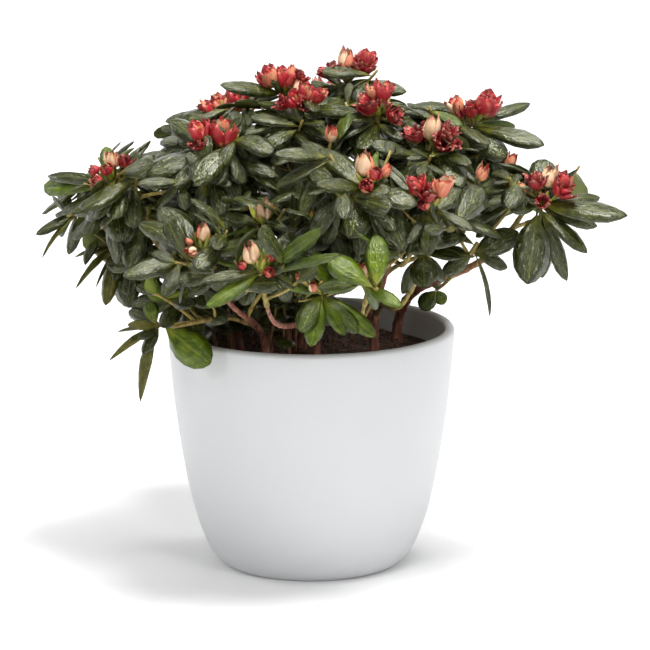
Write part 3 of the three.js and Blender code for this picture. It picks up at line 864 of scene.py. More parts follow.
# %% The five shapes of leaf, from three outlines: (share of the length, share of the half width)
spoon = [
    (0, 0.07), (0.08, 0.06), (0.19, 0.28), (0.34, 0.60), (0.52, 0.89), (0.70, 1.0), (0.85, 0.88),
    (0.955, 0.54), (1.0, 0.10),
]
ellipse = [
    (0, 0.07), (0.07, 0.06), (0.17, 0.36), (0.31, 0.74), (0.48, 0.97), (0.65, 1.0), (0.82, 0.82),
    (0.94, 0.46), (1.0, 0.06),
]
lance = [
    (0, 0.10), (0.07, 0.12), (0.18, 0.46), (0.32, 0.82), (0.48, 1.0), (0.65, 0.92), (0.81, 0.64),
    (0.93, 0.30), (1.0, 0.02),
]
leaf_blanks = {
    "spoon": sheet_blank(leaf_rows(spoon, 0.225, 0.012, 0.045, 0.006), 0.012),
    "broad": sheet_blank(leaf_rows(spoon, 0.250, 0.008, 0.055, 0.008), 0.012),
    "ellipse": sheet_blank(leaf_rows(ellipse, 0.210, 0.014, 0.040, 0.008), 0.012),
    "round": sheet_blank(leaf_rows(ellipse, 0.265, 0.008, 0.055, 0.006), 0.012),
    "narrow": sheet_blank(leaf_rows(lance, 0.125, 0.024, 0.010, 0.010), 0.014),
}
for kind, blank in leaf_blanks.items():
    print(kind, "faces", len(blank.faces), "vertices", len(blank.places))

# %% [markdown]
# ## Room for each leaf
# Leaves of a real shrub lie over one another but never run through one another. Before a leaf is placed it
# is tested as a flat blade of four triangles: is every point of it clear of the pot, of the limbs and of
# the other sprays' spaces, and does none of its edges pierce what stands already? If not, it is tried
# again, turned and a little smaller, and at last left out. The tests run on whole arrays at once.

# %% What stands in the way
SAG, FACING = 0.32, 0.5  # how much a leaf hangs, and how much its upper side turns up
TRIES = [  # degrees turned, degrees opened, size
    (0, 0, 1), (24, 5, 0.95), (-24, 10, 0.9), (48, 18, 0.85), (-48, 0, 0.8), (70, 30, 0.7), (-70, 20, 0.62),
]
CLEARANCE = 0.45  # mm between a leaf and the pot or the wood
PEAT_CLEARANCE = 1.6  # and between a leaf and the peat
OWN_SPACE = 0.9  # mm that a leaf is nearer to its own spray's spine than to another's
LIMB_SEGMENTS = 14  # straight pieces that stand for each limb
NEARBY = 32  # mm, what is further away than this and a leaf's reach can't touch it


def segments_of(paths):
    starts = np.vstack([path[:-1] for path in paths])
    steps = np.vstack([np.diff(path, axis=0) for path in paths])
    return starts, steps, np.maximum((steps**2).sum(1), 1e-12)


def distances(points, segments):
    """From each point to each straight segment."""
    starts, steps, squares = segments
    away = points[:, None] - starts[None]
    share = np.clip((away * steps).sum(2) / squares, 0, 1)
    return np.linalg.norm(away - share[..., None] * steps, axis=2)


spines = segments_of([np.array([places[name][2], places[name][0]]) for name in sprays])
limb_segments = segments_of([curve.path(LIMB_SEGMENTS + 1) for _, curve, _, _ in limbs])
limb_radii = np.concatenate(
    [foot + (tip - foot) * np.arange(LIMB_SEGMENTS) / LIMB_SEGMENTS for _, _, foot, tip in limbs]
)


def clear_of_pot(points):
    radius = np.hypot(points[:, 0], points[:, 1])
    above = points[:, 2] > pot_height + CLEARANCE
    outside = (radius > rim_radius + CLEARANCE) & (points[:, 2] > 0)
    within = radius < rim_radius - wall_thickness - 2 * CLEARANCE
    within &= points[:, 2] > soil_top + PEAT_CLEARANCE
    return bool((above | outside | within).all())


def fits(index, points, margin):
    """Clear of pot and limbs, and nearer to its own spray's spine than to another's, give or take."""
    if not clear_of_pot(points):
        return False
    away = distances(points, spines)
    own = away[:, index].copy()
    away[:, index] = 1e9
    if (away.min(1) - own < margin).any():
        return False
    return bool((distances(points, limb_segments) > limb_radii + CLEARANCE).all())


def cross(a, b):
    """The cross product on whole arrays, quicker than numpy's own."""
    return np.stack(
        [
            a[..., 1] * b[..., 2] - a[..., 2] * b[..., 1],
            a[..., 2] * b[..., 0] - a[..., 0] * b[..., 2],
            a[..., 0] * b[..., 1] - a[..., 1] * b[..., 0],
        ],
        axis=-1,
    )


def pierced(edges, triangles):
    """Whether any edge passes through any triangle."""
    if not len(edges) or not len(triangles):
        return False
    origin, ahead = edges[:, None, 0], (edges[:, 1] - edges[:, 0])[:, None]
    corner = triangles[None, :, 0]
    first, second = (triangles[:, 1] - triangles[:, 0])[None], (triangles[:, 2] - triangles[:, 0])[None]
    p = cross(ahead, second)
    volume = (p * first).sum(-1)
    with np.errstate(divide="ignore", invalid="ignore"):
        away = origin - corner
        u = (away * p).sum(-1) / volume
        q = cross(away, first)
        v = (q * ahead).sum(-1) / volume
        t = (q * second).sum(-1) / volume
    inside = (abs(volume) > 1e-9) & (u > 0) & (v > 0) & (u + v < 1) & (t > 0) & (t < 1)
    return bool(inside.any())


class Standing:
    """All blades, twigs and buds placed so far, with the middle of each to find the near ones quickly."""

    def __init__(self, room=60000):
        self.triangles, self.edges = np.zeros((room, 3, 3)), np.zeros((room, 2, 3))
        self.counts = [0, 0]

    def put(self, triangles, edges):
        for k, (store, new) in enumerate(((self.triangles, triangles), (self.edges, edges))):
            if len(new):
                store[self.counts[k] : self.counts[k] + len(new)] = new
                self.counts[k] += len(new)

    def near(self, middle, reach):
        triangles, edges = self.triangles[: self.counts[0]], self.edges[: self.counts[1]]
        close = ((triangles[:, 0] - middle) ** 2).sum(1) < (reach + NEARBY) ** 2
        close_edges = ((edges[:, 0] - middle) ** 2).sum(1) < (reach + NEARBY) ** 2
        return triangles[close], edges[close_edges]


standing = Standing()
# points of a blade: how far across, and how far along it; the triangles and edges join the first six
BLADE = np.array(
    [(0, 0.16), (-0.8, 0.4), (0.8, 0.4), (-0.92, 0.72), (0.92, 0.72), (0, 1), (0.6, 0.9), (-0.6, 0.9)]
)
BLADE_MORE = np.array([(across, share) for share in (0.4, 0.56, 0.72) for across in (0, -0.92, 0.92)])
TRIANGLES = [(0, 1, 2), (1, 3, 2), (2, 3, 4), (3, 5, 4)]
EDGES = [(0, 1), (1, 3), (3, 5), (0, 2), (2, 4), (4, 5)]


def arch_at(share, arch):
    """How high an arched leaf is at a share of its length."""
    return arch * (0.3 * share - 0.5 * share * share)


def blade_points(flat, foot, turn, length, arch, width):
    """Places of (across, share) points of a leaf's blade."""
    local = np.column_stack([flat[:, 0] * width / 2, flat[:, 1], arch_at(flat[:, 1], arch)])
    return foot + length * (local @ turn)


def lying(along, facing):
    """Rows of a turn: across, along, upper side."""
    side = unit(np.cross(along, facing))
    return np.array([side, along, np.cross(side, along)])


# %% [markdown]
# ## Shoots, rosettes and leaves
# A rosette is what an azalea makes at the tip of each shoot: leaves round it at the golden angle, the
# lowest the longest and the most spread. The first shoots are those of the solids. The shrub is open
# underneath, so that the stems show: it ends in a skirt, whose height changes with the side, and above in a
# low dome.

# %% One leaf, one rosette, one side shoot
leaves = []  # kind, foot, turn, length, arch, spray, share of youth, share of the width
twigs = []  # path, radius at the foot, radius at the tip, how young
SKIRT_AZIMUTHS = [-180, -165, -150, -130, -115, -100, -85, -70, -55, -30, 0, 30, 60, 120, 150, 180]
SKIRT_HEIGHTS = [156, 147, 144, 146, 158, 161, 157, 172, 182, 186, 182, 170, 154, 148, 154, 156]
SKIRT_RADIUS, SKIRT_SLOPE = 85, 0.45  # further out than this radius, the skirt rises
CROWN_TOP, CROWN_DROP = 277, 34
LEAF_LENGTH, LEAF_WIDTH = 41, 0.44  # in mm, and as a share of the length


def in_crown(points, slack):
    """Whether all points are above the skirt and under the dome, give or take."""
    azimuths = np.degrees(np.arctan2(points[:, 1], points[:, 0]))
    radii, heights = np.hypot(points[:, 0], points[:, 1]), points[:, 2]
    skirt = np.interp(azimuths, SKIRT_AZIMUTHS, SKIRT_HEIGHTS)
    skirt += SKIRT_SLOPE * np.maximum(radii - SKIRT_RADIUS, 0)
    dome = CROWN_TOP - CROWN_DROP * (radii / 100) ** 1.6
    return bool(((heights > skirt - slack) & (heights < dome + slack)).all())


def room_for(index, foot, along, facing, length, options):
    """Put a leaf down where it has room. Returns whether it had."""
    turn = lying(along, facing)
    arch, width = options.get("arch", 0.3), options.get("width", LEAF_WIDTH)
    corners = blade_points(BLADE, foot, turn, length, arch, width)
    more = blade_points(BLADE_MORE, foot, turn, length, arch, width)
    every = np.vstack([corners, more])
    if not in_crown(corners, options.get("slack", 0)):
        return False
    if not fits(index, every, options.get("margin", OWN_SPACE)):
        return False
    triangles = np.array([[corners[i] for i in three] for three in TRIANGLES])
    edges = np.array([[corners[i] for i in two] for two in EDGES])
    near_triangles, near_edges = standing.near(corners[3], length * 0.7)
    if pierced(edges, near_triangles) or pierced(near_edges, triangles):
        return False
    standing.put(triangles, edges)
    kind, young = options.get("kind"), options.get("young", 0)
    leaves.append((kind, foot, turn, length, arch, index, young, width / LEAF_WIDTH))
    return True


def leaf_at(index, foot, axis, azimuth, pitch, full, options):
    """One leaf round a shoot: tried as it is, then turned, opened and smaller, or left out."""
    for turned, out, size in TRIES[: options.get("tries")]:
        along = unit(leaning(axis, azimuth + turned, pitch + out) - UP * options.get("sag", SAG))
        if room_for(index, foot, along, axis + UP * FACING, full * size, options):
            break


def rosette(index, curve, draw, count, scale, **options):
    """Leaves round a shoot's tip at the golden angle."""
    turn = draw() * 360
    depth, below = options.get("depth", 9), options.get("below", 2)
    base, opening = options.get("pitch", (66, 36))
    for i in range(count):
        share = max(1 - (below + depth * i / count) / curve.length, 0.02)
        pitch = base + opening * i / count + draw() * 10
        length = LEAF_LENGTH * scale * (0.84 + 0.16 * (i / count) + draw() * 0.14)
        leaf_at(index, curve.point(share), curve.heading(share), turn + i * GOLDEN, pitch, length, options)


def side_shoot(index, curve, axis, azimuth, below, draw, full=27.0, margin=OWN_SPACE, spread=58.0):
    """A side shoot, or None where it has no room."""
    share = 1 - below / curve.length
    if share < 0.02:
        return None
    foot = curve.point(share)
    leaving = leaning(axis, azimuth, spread + draw() * 14)
    length = full * (0.8 + draw() * 0.4)
    arriving = unit(leaving * 0.6 + axis * 0.4)
    tip = foot + leaving * length * 0.6 + arriving * length * 0.4
    shoot = Growth(foot, leaving, tip, arriving)
    points = shoot.path(6)[1:]
    return shoot if fits(index, points if margin > 0 else points[1:], margin) else None


def add_twig(curve, count, foot, tip, young, *stops):
    """Keep a curve as a twig. Straight edges between these stops on it stand in the way of later leaves."""
    twigs.append((curve.path(count), foot, tip, young))
    ends = [curve.point(t) for t in stops]
    standing.put((), np.array(list(zip(ends, ends[1:]))))


# %% Leading shoots, their side shoots and the room for the buds
LEADER_POINTS = 14
names = list(sprays)
leaders, side_shoots = {}, {}
for index, name in enumerate(sprays):
    heart, axis, bough_tip = places[name]
    *_, buds, extra = sprays[name]
    first = index * 101 + extra.get("seed", 0) * 5003
    draw = seeded(first + 7)
    leader = fork_curve(name, heart) if "near" in extra else Growth(bough_tip, axis, heart, axis, 1 / 3)
    leaders[name] = leader
    add_twig(leader, LEADER_POINTS, 1.5, 1.0, 0.3, 0.5, 1)
    azimuth = draw() * 360
    side_shoots[name] = []
    for i in range(3):
        own = seeded(first + 17 + i)
        shoot = side_shoot(index, leader, axis, azimuth + i * GOLDEN, 10 + 7 * i, own)
        if shoot is None:
            continue
        side_shoots[name].append((shoot, own))
        add_twig(shoot, 9, 1.0, 0.7, 0.7, 0, 0.5, 1)
    if buds > 0:
        upright = unit(axis * 0.65 + UP * 0.35)
        turn = lying(upright, np.array([1.0, 0, 0]))
        ring = [np.array([math.cos(a), math.sin(a)]) for a in np.arange(6) * math.pi / 3]
        low, high = (
            [heart - axis + buds * (turn[1] * up + wide * (r[0] * turn[0] + r[1] * turn[2])) for r in ring]
            for up, wide in ((7, 8), (17, 6))
        )
        cone = [[low[i], high[i], low[(i + 1) % 6]] for i in range(6)]
        cone += [[high[i], high[(i + 1) % 6], low[(i + 1) % 6]] for i in range(6)]
        rims = [[t[a], t[b]] for t in cone for a, b in ((0, 1), (1, 2), (2, 0))]
        standing.put(np.array(cone), np.array(rims))
print(len(leaders), "leading shoots,", sum(map(len, side_shoots.values())), "side shoots")

# %% [markdown]
# ### The best side
# A grower turns a plant until it looks its best, and that side is the one people remember. So the rosettes
# on it are set leaf by leaf. Each has a place, and each leaf a direction, a length and a width, with letters
# for its shape (spoon, ellipse, round, narrow) and its colour (dark, blue green, green, fresh, olive).

# %% Rosettes set leaf by leaf: spray, place in mm, then azimuth,elevation,length,width in percent,letters
by_hand = {
    "upperLeft": ("upperLeft", (-52, -47, 240),
        "-51,-47,33,48,ed -135,-25,33,40,ed -98,-60,41,40,eb -20,-12,37,30,ed 168,-5,44,26,eb "
        "142,27,34,38,sd -13,61,24,30,sb 144,21,27,40,sd -163,-9,43,40,eb 30,-49,36,40,eb"),
    "upperLeftBack": ("upperLeftBack", (-48, 12, 247),
        "141,40,22,44,sd 40,-8,26,36,ed 145,6,24,34,eb"),
    "topLeft": ("topLeft", (-6, -20, 257),
        "155,11,27,26,ed 157,-4,37,34,ed -149,-9,38,24,ed -136,-19,26,36,ed -85,-30,25,60,sb -32,10,36,30,ed "
        "28,13,43,30,ed 99,63,30,30,sb 134,-31,36,36,eb -54,-11,28,40,eb"),
    "topLeftUp": ("topLeft", (-15, 2, 263),
        "-155,15,38,34,ed 150,-9,28,22,eb 33,16,30,18,nd -121,59,16,44,sb 59,53,21,36,sb"),
    "top": ("top", (19, 10, 268),
        "-31,-4,35,30,ed -18,-30,41,30,eb -140,3,26,30,ed 40,59,24,28,sb 129,42,20,40,sb 30,-9,26,36,eb "
        "-108,-20,28,40,eb"),
    "topRight": ("topRight", (36, -32, 255),
        "-25,41,17,34,sd -142,-29,22,48,sb -138,17,20,36,ed -44,-16,20,44,eb -79,-37,24,40,eb 34,-5,28,36,ed "
        "122,60,20,36,sb"),
    "upperRight": ("upperRight", (68, -47, 240),
        "-61,-29,30,50,ed -40,-28,42,20,ed -144,7,21,56,sd 149,1,34,30,eb -112,-24,20,44,eb 144,35,20,40,eb "
        "-49,-5,26,36,eb"),
    "upperRightBack": ("upperRightBack", (90, 8, 246),
        "22,20,37,28,ed 25,0,27,36,sf -26,-5,43,34,ed -132,0,24,40,ed 158,12,38,30,ed -27,-43,42,26,ed "
        "-41,-55,42,28,eb 134,1,26,34,eb"),
    "frontHigh": ("frontHigh", (30, -97, 228),
        "-34,-7,30,50,ed -148,5,31,36,ed 138,33,40,36,ed 68,55,27,22,nf -118,-44,28,64,rd -47,-43,40,46,eb "
        "-56,-32,30,40,eb"),
    "frontHighLeft": ("frontHigh", (11, -80, 241),
        "-151,13,33,34,ed -154,-17,34,26,ed -135,-44,34,36,ed 132,25,28,34,eb 67,9,18,36,eb"),
    "frontRight": ("frontRight", (63, -97, 217),
        "-36,-12,28,30,ed -97,-51,26,44,ed -125,-39,25,24,eb 39,26,26,46,ed 147,44,42,22,ed 38,7,18,20,nf "
        "64,-46,28,40,eb"),
    "frontInner": ("frontInner", (60, -72, 190),
        "-90,-40,24,64,rd -41,5,26,32,eb 19,-47,22,44,eb -139,-25,22,40,eb 139,-58,28,30,eb 29,18,30,30,eb"),
    "right": ("right", (124, -46, 210),
        "-21,0,48,40,ed 12,13,36,26,sd 8,-19,34,38,ed -34,-29,37,30,ed -103,-57,42,50,eb 35,-82,44,34,eb "
        "22,-66,46,24,ed -152,17,21,56,sd 58,66,31,54,sd -23,51,31,18,nb"),
    "rightInner": ("rightLow", (108, -50, 210),
        "-162,-16,25,26,ed 162,-39,27,30,eb 149,-4,22,26,ed 136,26,16,36,eb"),
    "rightLow": ("rightLow", (88, -58, 186),
        "-19,-22,20,50,rb -42,-57,17,64,rf -160,-25,20,46,eb 147,14,22,40,eb 18,32,30,52,eb "
        "23,-69,40,9,nb 28,14,20,40,eb"),
    "stemRight": ("rightLow", (70, 12, 152),
        "-45,-48,10,80,rf -140,-40,15,70,rg -170,-5,16,56,rg 100,20,14,60,rg"),
    "left": ("left", (-108, -31, 219),
        "-72,-16,24,74,rd -76,-49,34,48,sb -130,-42,33,36,ed -147,-21,28,24,ed 165,-20,37,24,ed "
        "157,8,42,22,eb 160,-3,46,36,sf 38,48,34,20,nb 112,56,26,34,sf -5,44,29,26,ed"),
    "leftInner": ("left", (-68, -62, 225),
        "-153,3,25,36,eb 146,-34,26,40,eb -78,-43,16,50,eb"),
    "farLeft": ("farLeft", (-129, 12, 196),
        "-148,-17,29,30,ed -141,-30,35,12,no -124,-53,26,40,eb 143,-6,24,30,ed 50,-49,24,40,eb"),
    "leftLow": ("leftLow", (-107, -8, 181),
        "-140,-29,35,15,no 164,-12,29,13,no -146,-5,23,10,no -126,-33,30,9,no -124,-25,15,10,no "
        "144,-63,31,12,nb -111,-52,36,28,eo -74,-53,38,44,eb -100,-36,24,40,eb 102,14,22,30,eo"),
    "lowLeft": ("lowLeft", (-83, -60, 146),
        "-123,-59,42,17,no -141,-17,34,14,no 158,-8,29,10,no -38,4,32,46,sf -42,-24,37,52,rf 43,34,34,18,no "
        "-124,-8,17,40,rb -122,-32,20,36,rb -137,13,22,30,eo 150,16,26,30,sb 114,43,18,50,sf"),
    "lowLeftUp": ("lowLeft", (-70, -46, 158),
        "170,-8,30,44,rb -118,-30,24,46,eb -70,-38,26,48,eb -35,-14,28,46,eb 130,4,30,42,eb 20,-20,30,44,eb "
        "-150,20,22,44,sf 80,-30,26,44,eb"),
    "frontLeft": ("frontLeft", (-56, -100, 195),
        "162,23,40,30,ed 142,36,38,44,eb -25,18,30,38,ed -122,23,15,50,sd -27,-5,25,28,ef 57,40,24,9,nf "
        "139,1,18,30,ef"),
    "frontLeftSide": ("frontLeft", (-66, -96, 190),
        "-149,-4,36,40,ed 157,-9,26,36,eb -122,-31,26,36,eb -81,-28,20,40,eb"),
    "frontLeftHigh": ("frontLeftHigh", (-25, -88, 207),
        "-154,20,22,46,sd 124,22,26,24,eb -91,-26,15,62,sb 38,17,20,26,eb -149,3,26,10,nf -37,1,22,20,eb"),
    "frontLowLeft": ("frontLowLeft", (-25, -124, 189),
        "-155,-1,33,24,ed -148,-21,36,28,ef -24,40,42,22,eg -24,21,46,13,eg 49,45,30,38,ed 73,56,21,28,ef "
        "-40,25,15,60,sd 146,-42,26,36,eb"),
    "frontSkirt": ("frontSkirt", (6, -113, 175),
        "-119,-34,27,46,eg -103,-41,32,34,ef -54,-41,27,30,ef -41,-33,30,34,eg -38,-28,38,26,ef "
        "-155,5,28,46,rd 158,40,24,36,eg 64,44,20,36,eg -153,19,24,24,ef"),
    "frontLow": ("frontLow", (27, -118, 181),
        "-35,-17,26,32,ef -149,5,26,38,eg 142,11,26,30,eg 132,32,18,36,eb 77,51,20,36,eb 49,-45,22,38,eg "
        "41,11,20,36,eg"),
    "frontMiddle": ("frontMiddle", (2, -66, 203),
        "-134,-18,20,36,eb -48,-11,20,36,eb 122,32,18,36,eb 61,22,20,30,eb"),
}
FORWARD = np.array([0.0, -0.6, 0.5])  # the side a leaf turns to, besides the axis of its shoot
YOUTH = {"d": 0.2, "b": 0.8, "g": 1.5, "f": 2.5, "o": 3.5}
KINDS = {"s": "spoon", "e": "ellipse", "r": "round", "n": "narrow"}
NUDGES = ((0, 0), (5, 0), (-5, 4), (0, 8), (9, -4), (-9, 0), (0, -8), (14, 4), (-14, 4))  # turned, raised
missed = 0
for name, place, rows in by_hand.values():
    index, place = names.index(name), np.array(place, float)
    heart, axis, _ = places[name]
    leader = leaders[name]
    back = axis
    if np.linalg.norm(place - heart) > 10:
        share = 0.15 if leader.length < 45 else 0.55
        start = leader.point(share)
        back = unit(unit(place - start) + axis * 0.4)
        shoot = Growth(start, leader.heading(share), place + back * 2, back)
        add_twig(shoot, 10, 1.1, 0.8, 0.7, 0.2, 0.6, 1)
    for i, row in enumerate(rows.split()):
        azimuth, elevation, length, width, letters = row.split(",")
        foot = place - back * (i % 5) * 0.9
        options = {
            "kind": KINDS[letters[0]], "young": YOUTH[letters[1]], "width": int(width) / 100,
            "arch": 0.7 if letters[0] == "n" else 0.3, "margin": -60, "slack": 300,
        }
        for turned, up in NUDGES:
            along = towards(int(azimuth) + turned, int(elevation) + up)
            if room_for(index, foot, along, axis * 0.35 + FORWARD, float(length), options):
                break
        else:
            missed += 1
print("leaves set by hand:", len(leaves), "left out:", missed)

# %% The other leaves of the first rosettes
LIVELY = {  # share of young leaves
    "lowLeft": 0.9, "frontLow": 0.75, "frontSkirt": 0.7, "rightLow": 0.3, "frontInner": 0.3, "leftLow": 0.3,
}
QUIET = 0.03  # the same, on all other sprays
HIDDEN = 0.35  # how much of a rosette still grows freely where leaves are set one by one
FEWER = {"farRight": 0.5}  # and elsewhere, where it isn't all of it
shown = {name for name, _, _ in by_hand.values()}
for index, name in enumerate(sprays):
    young = LIVELY.get(name, QUIET)
    free = HIDDEN if name in shown else FEWER.get(name, 1)
    draw = seeded(index * 101 + 7)
    rosette(index, leaders[name], draw, round(8 * free), 1, young=young, slack=6)
    for i, (shoot, own) in enumerate(side_shoots[name]):
        rosette(index, shoot, own, 4 - i % 2, 0.92, young=young, slack=6)
print("with the other leaves of the first rosettes:", len(leaves), "leaves", len(twigs), "twigs")

# %% [markdown]
# ### Finer growth
# Then each spray grows finer leaves: small upright ones round the tip, a looser whorl below, more side
# shoots, and short shoots on the upper part of the boughs. They may reach into a neighbour's space where
# they pierce nothing, as they do on a real shrub.

# %% Finer shoots and leaves
LOOSE = -9.0  # finer leaves may reach this far into a neighbour's space


def fine_leaves(index, curve, draw, young, size, inner, outer):
    """Small upright leaves inside a rosette, and a whorl of larger ones below it."""
    shared = {"young": young, "margin": LOOSE}
    rosette(index, curve, draw, inner, 0.5 * size, depth=4, below=2.5, pitch=(36, 24), arch=0.2, sag=0.0,
            tries=4, **shared)
    rosette(index, curve, draw, outer, 0.84 * size, depth=12, below=8, pitch=(62, 24), arch=0.4, sag=0.12,
            **shared)


def leafy_shoot(index, shoot, draw, greenness, scale, **options):
    """Keep a short shoot if it stays in the crown, with a small rosette."""
    if shoot is not None and in_crown(shoot.path(4), 0):
        add_twig(shoot, 8, 0.8, 0.55, greenness, 0.12, 0.5, 1)
        rosette(index, shoot, draw, 5, scale, below=1, sag=0.1, **options)


for index, name in enumerate(sprays):
    axis, leader = places[name][1], leaders[name]
    draw = seeded(index * 101 + 61)
    young = LIVELY.get(name, QUIET)
    known = name in shown
    if not known:
        fine_leaves(index, leader, draw, young, 1.0, 4, 5)
    for shoot, _ in side_shoots[name]:
        fine_leaves(index, shoot, draw, young, 0.86, 2, 4 - known)
    for i in range(3):
        shoot = side_shoot(index, leader, axis, draw() * 60 + i * GOLDEN, 8 + 8 * i, draw, 20, LOOSE, 52)
        leafy_shoot(index, shoot, draw, 0.9, 0.74, depth=10, margin=LOOSE, pitch=(46, 44), young=young)
print("with finer shoots on the sprays:", len(leaves), "leaves", len(twigs), "twigs")

# %% Short shoots along the boughs
SHOOT_EVERY = 11.0  # mm along the upper half of a limb
for limb_name, curve, _, _ in limbs:
    sort, _, carried = limb_name.partition("_")
    index = names.index(carried if sort == "bough" else carried_by(carried))
    draw = seeded(index * 77 + 5)
    for i, share in enumerate(np.arange(0.97, 0.5, -SHOOT_EVERY / curve.length)):
        t = curve.time_at(share)
        if not in_crown(curve.point(t)[None], 0):
            continue
        below = (1 - share) * curve.length
        azimuth = draw() * 50 + i * GOLDEN
        shoot = side_shoot(index, curve, curve.heading(t), azimuth, below, draw, 21, LOOSE * 2, 50)
        leafy_shoot(index, shoot, draw, 0.6, 0.78, depth=11, margin=LOOSE * 2, pitch=(50, 46))
print("with the short shoots:", len(leaves), "leaves", len(twigs), "twigs")

# %% [markdown]
# ### Suckers
# New thin shoots rise from the foot of the stems. They never get much light, so they carry few leaves, but
# they fill the dark room over the peat, mostly behind and to the left, where the stems stand further apart.

# %% Suckers and their leaves: each foot is within the pot, and each tip a little further out
SUCKERS = 34
draw = seeded(91)
for _ in range(SUCKERS):
    across, deep = -64 + 62 * draw(), -22 + 70 * draw()
    if math.hypot(across, deep) > soil_radius - 12:
        continue
    foot = np.array([across, deep, soil_top - 1])
    tip = foot + np.array([across * 0.10 + 12 * draw() - 6, deep * 0.10 + 12 * draw() - 6, 26 + 22 * draw()])
    sucker = Growth(foot, UP, tip, unit(UP + (tip - foot) * [0.03, 0.03, 0]))
    add_twig(sucker, 9, 1.1, 0.7, 0.1, 0.1, 0.5, 1)
    index = int(np.argmin(distances(tip[None], spines)[0]))
    rosette(index, sucker, draw, 6, 0.55, depth=20, below=1, margin=-200, pitch=(44, 40), slack=40, sag=0.0)
print("with the suckers:", len(leaves), "leaves", len(twigs), "twigs")

# %% Twigs that came to carry no leaf are left out
LEAFLESS = 6  # mm from the end of a twig to the next foot of a leaf
feet = np.array([leaf[1] for leaf in leaves])
before = len(twigs)
twigs = [
    row
    for row in twigs
    if len(row[0]) == LEADER_POINTS or np.linalg.norm(feet - row[0][-1], axis=1).min() <= LEAFLESS
]
print("twigs:", before, "of them with leaves:", len(twigs))

# %% [markdown]
# ## Flower buds
# The buds sit in clusters on the leading shoots. A tight bud is a pale pointed drop of overlapping scales.
# An opening bud is a crimson tulip of broad petals. A double bud is darker, shorter and ruffled, and small
# round ones fill in below. All of them are petals round an axis, so one petal sheet per sort is enough:
# each petal is a section of a bulging shell, and each next one stands a little further out.


# %% Petal blanks
def petal_blank(profile, width, thickness=0.03, ruffle=0.0):
    """A petal as a section of a shell. profile: (height, radius, share of the half width)."""
    rows = []
    for k, (height, radius, share) in enumerate(profile):
        half = min(width * share, radius * 0.96) if k < len(profile) - 1 else width * share
        inner = math.sqrt(max(radius**2 - (half / 2) ** 2, 0))
        outer = math.sqrt(max(radius**2 - half**2, 0))
        ripple = ruffle * (height**2) * (1 if k % 2 else -1)
        rows.append((height, half, radius + ripple, inner - ripple, outer + ripple, outer - ripple))
    return sheet_blank(rows, thickness)


tulip = [
    (0, 0.12, 0.5), (0.14, 0.25, 0.8), (0.34, 0.34, 1), (0.56, 0.36, 1),
    (0.76, 0.34, 0.84), (0.90, 0.31, 0.48), (1.0, 0.28, 0.05),
]
flared = [
    (0, 0.10, 0.5), (0.14, 0.24, 0.8), (0.34, 0.36, 1), (0.56, 0.43, 1),
    (0.76, 0.46, 0.88), (0.92, 0.47, 0.60), (1.0, 0.49, 0.16),
]
drop = [
    (0, 0.13, 0.7), (0.14, 0.26, 0.95), (0.32, 0.32, 1), (0.52, 0.30, 0.9),
    (0.72, 0.23, 0.62), (0.88, 0.15, 0.34), (1.0, 0.12, 0.02),
]
ball = [
    (0, 0.20, 0.7), (0.14, 0.38, 0.95), (0.34, 0.48, 1), (0.56, 0.46, 0.95),
    (0.76, 0.36, 0.7), (0.90, 0.24, 0.36), (1.0, 0.10, 0.02),
]
petal_blanks = {
    "tulip": petal_blank(tulip, 0.34, ruffle=0.04),
    "flared": petal_blank(flared, 0.34, ruffle=0.07),
    "drop": petal_blank(drop, 0.29, 0.02, ruffle=0.02),
    "ball": petal_blank(ball, 0.36, 0.02, ruffle=0.05),
    "bract": sheet_blank(leaf_rows(lance, 0.24, 0.05, -0.03, 0.01), 0.02),
}

# colour, blank, height in mm, petals in the layers from the outside in, how far the outer ones lean out
sorts = {
    "open": ("crimson", "tulip", 14.0, (3, 3), 9),
    "pink": ("blush", "tulip", 13.0, (3, 3), 6),
    "double": ("garnet", "flared", 10.5, (4, 3, 3), 12),
    "pale": ("cream", "drop", 12.5, (4, 4), 4),
    "bead": ("garnet", "flared", 6.5, (5, 4), 3),
    "round": ("crimson", "ball", 7.5, (5, 5), 12),
    "small": ("blush", "drop", 9.5, (4, 3), 4),
}
OTHER_SHARE = 0.2  # of the petals of a bud have another shade
OTHER_SHADES = {"crimson": "blush", "garnet": "crimson", "blush": "cream", "cream": "blush"}
petals = {colour: Heap("petals_" + colour) for colour in ("crimson", "blush", "garnet", "cream")}
bracts = Heap("bracts")


def add_bud(sort, foot, axis, draw, size=1.0):
    """One bud: layers of petals round an axis, from a foot in millimetres."""
    colour, blank, height, layers, lean = sorts[sort]
    blank = petal_blanks[blank]
    turn = draw() * 360
    side = unit(np.cross(axis, [0.21, 0.35, 0.91]))
    other = np.cross(axis, side)
    for layer, count in enumerate(layers):
        for k in range(count):
            out = math.radians(lean * (1 - layer * 0.6) + 8 * draw() - 2)
            azimuth = math.radians(turn + layer * 37 + k * 360 / count + 24 * draw())
            radial = side * math.cos(azimuth) + other * math.sin(azimuth)
            upright = unit(axis * math.cos(out) + radial * math.sin(out))
            radial = unit(radial - upright * (radial @ upright))
            frame_turn = np.array([np.cross(upright, radial), upright, radial])
            tall = height * size * (0.78 + 0.30 * draw()) * (1 - 0.04 * layer)
            broad = height * size * 0.94 * (1 - 0.2 * layer + 0.07 * (k % 3))
            scale = np.array([broad, tall, broad])
            shade = OTHER_SHADES[colour] if draw() < OTHER_SHARE else colour
            petals[shade].add(blank, foot + (blank.places * scale) @ frame_turn)


BRACTS = 8  # round the foot of each cluster


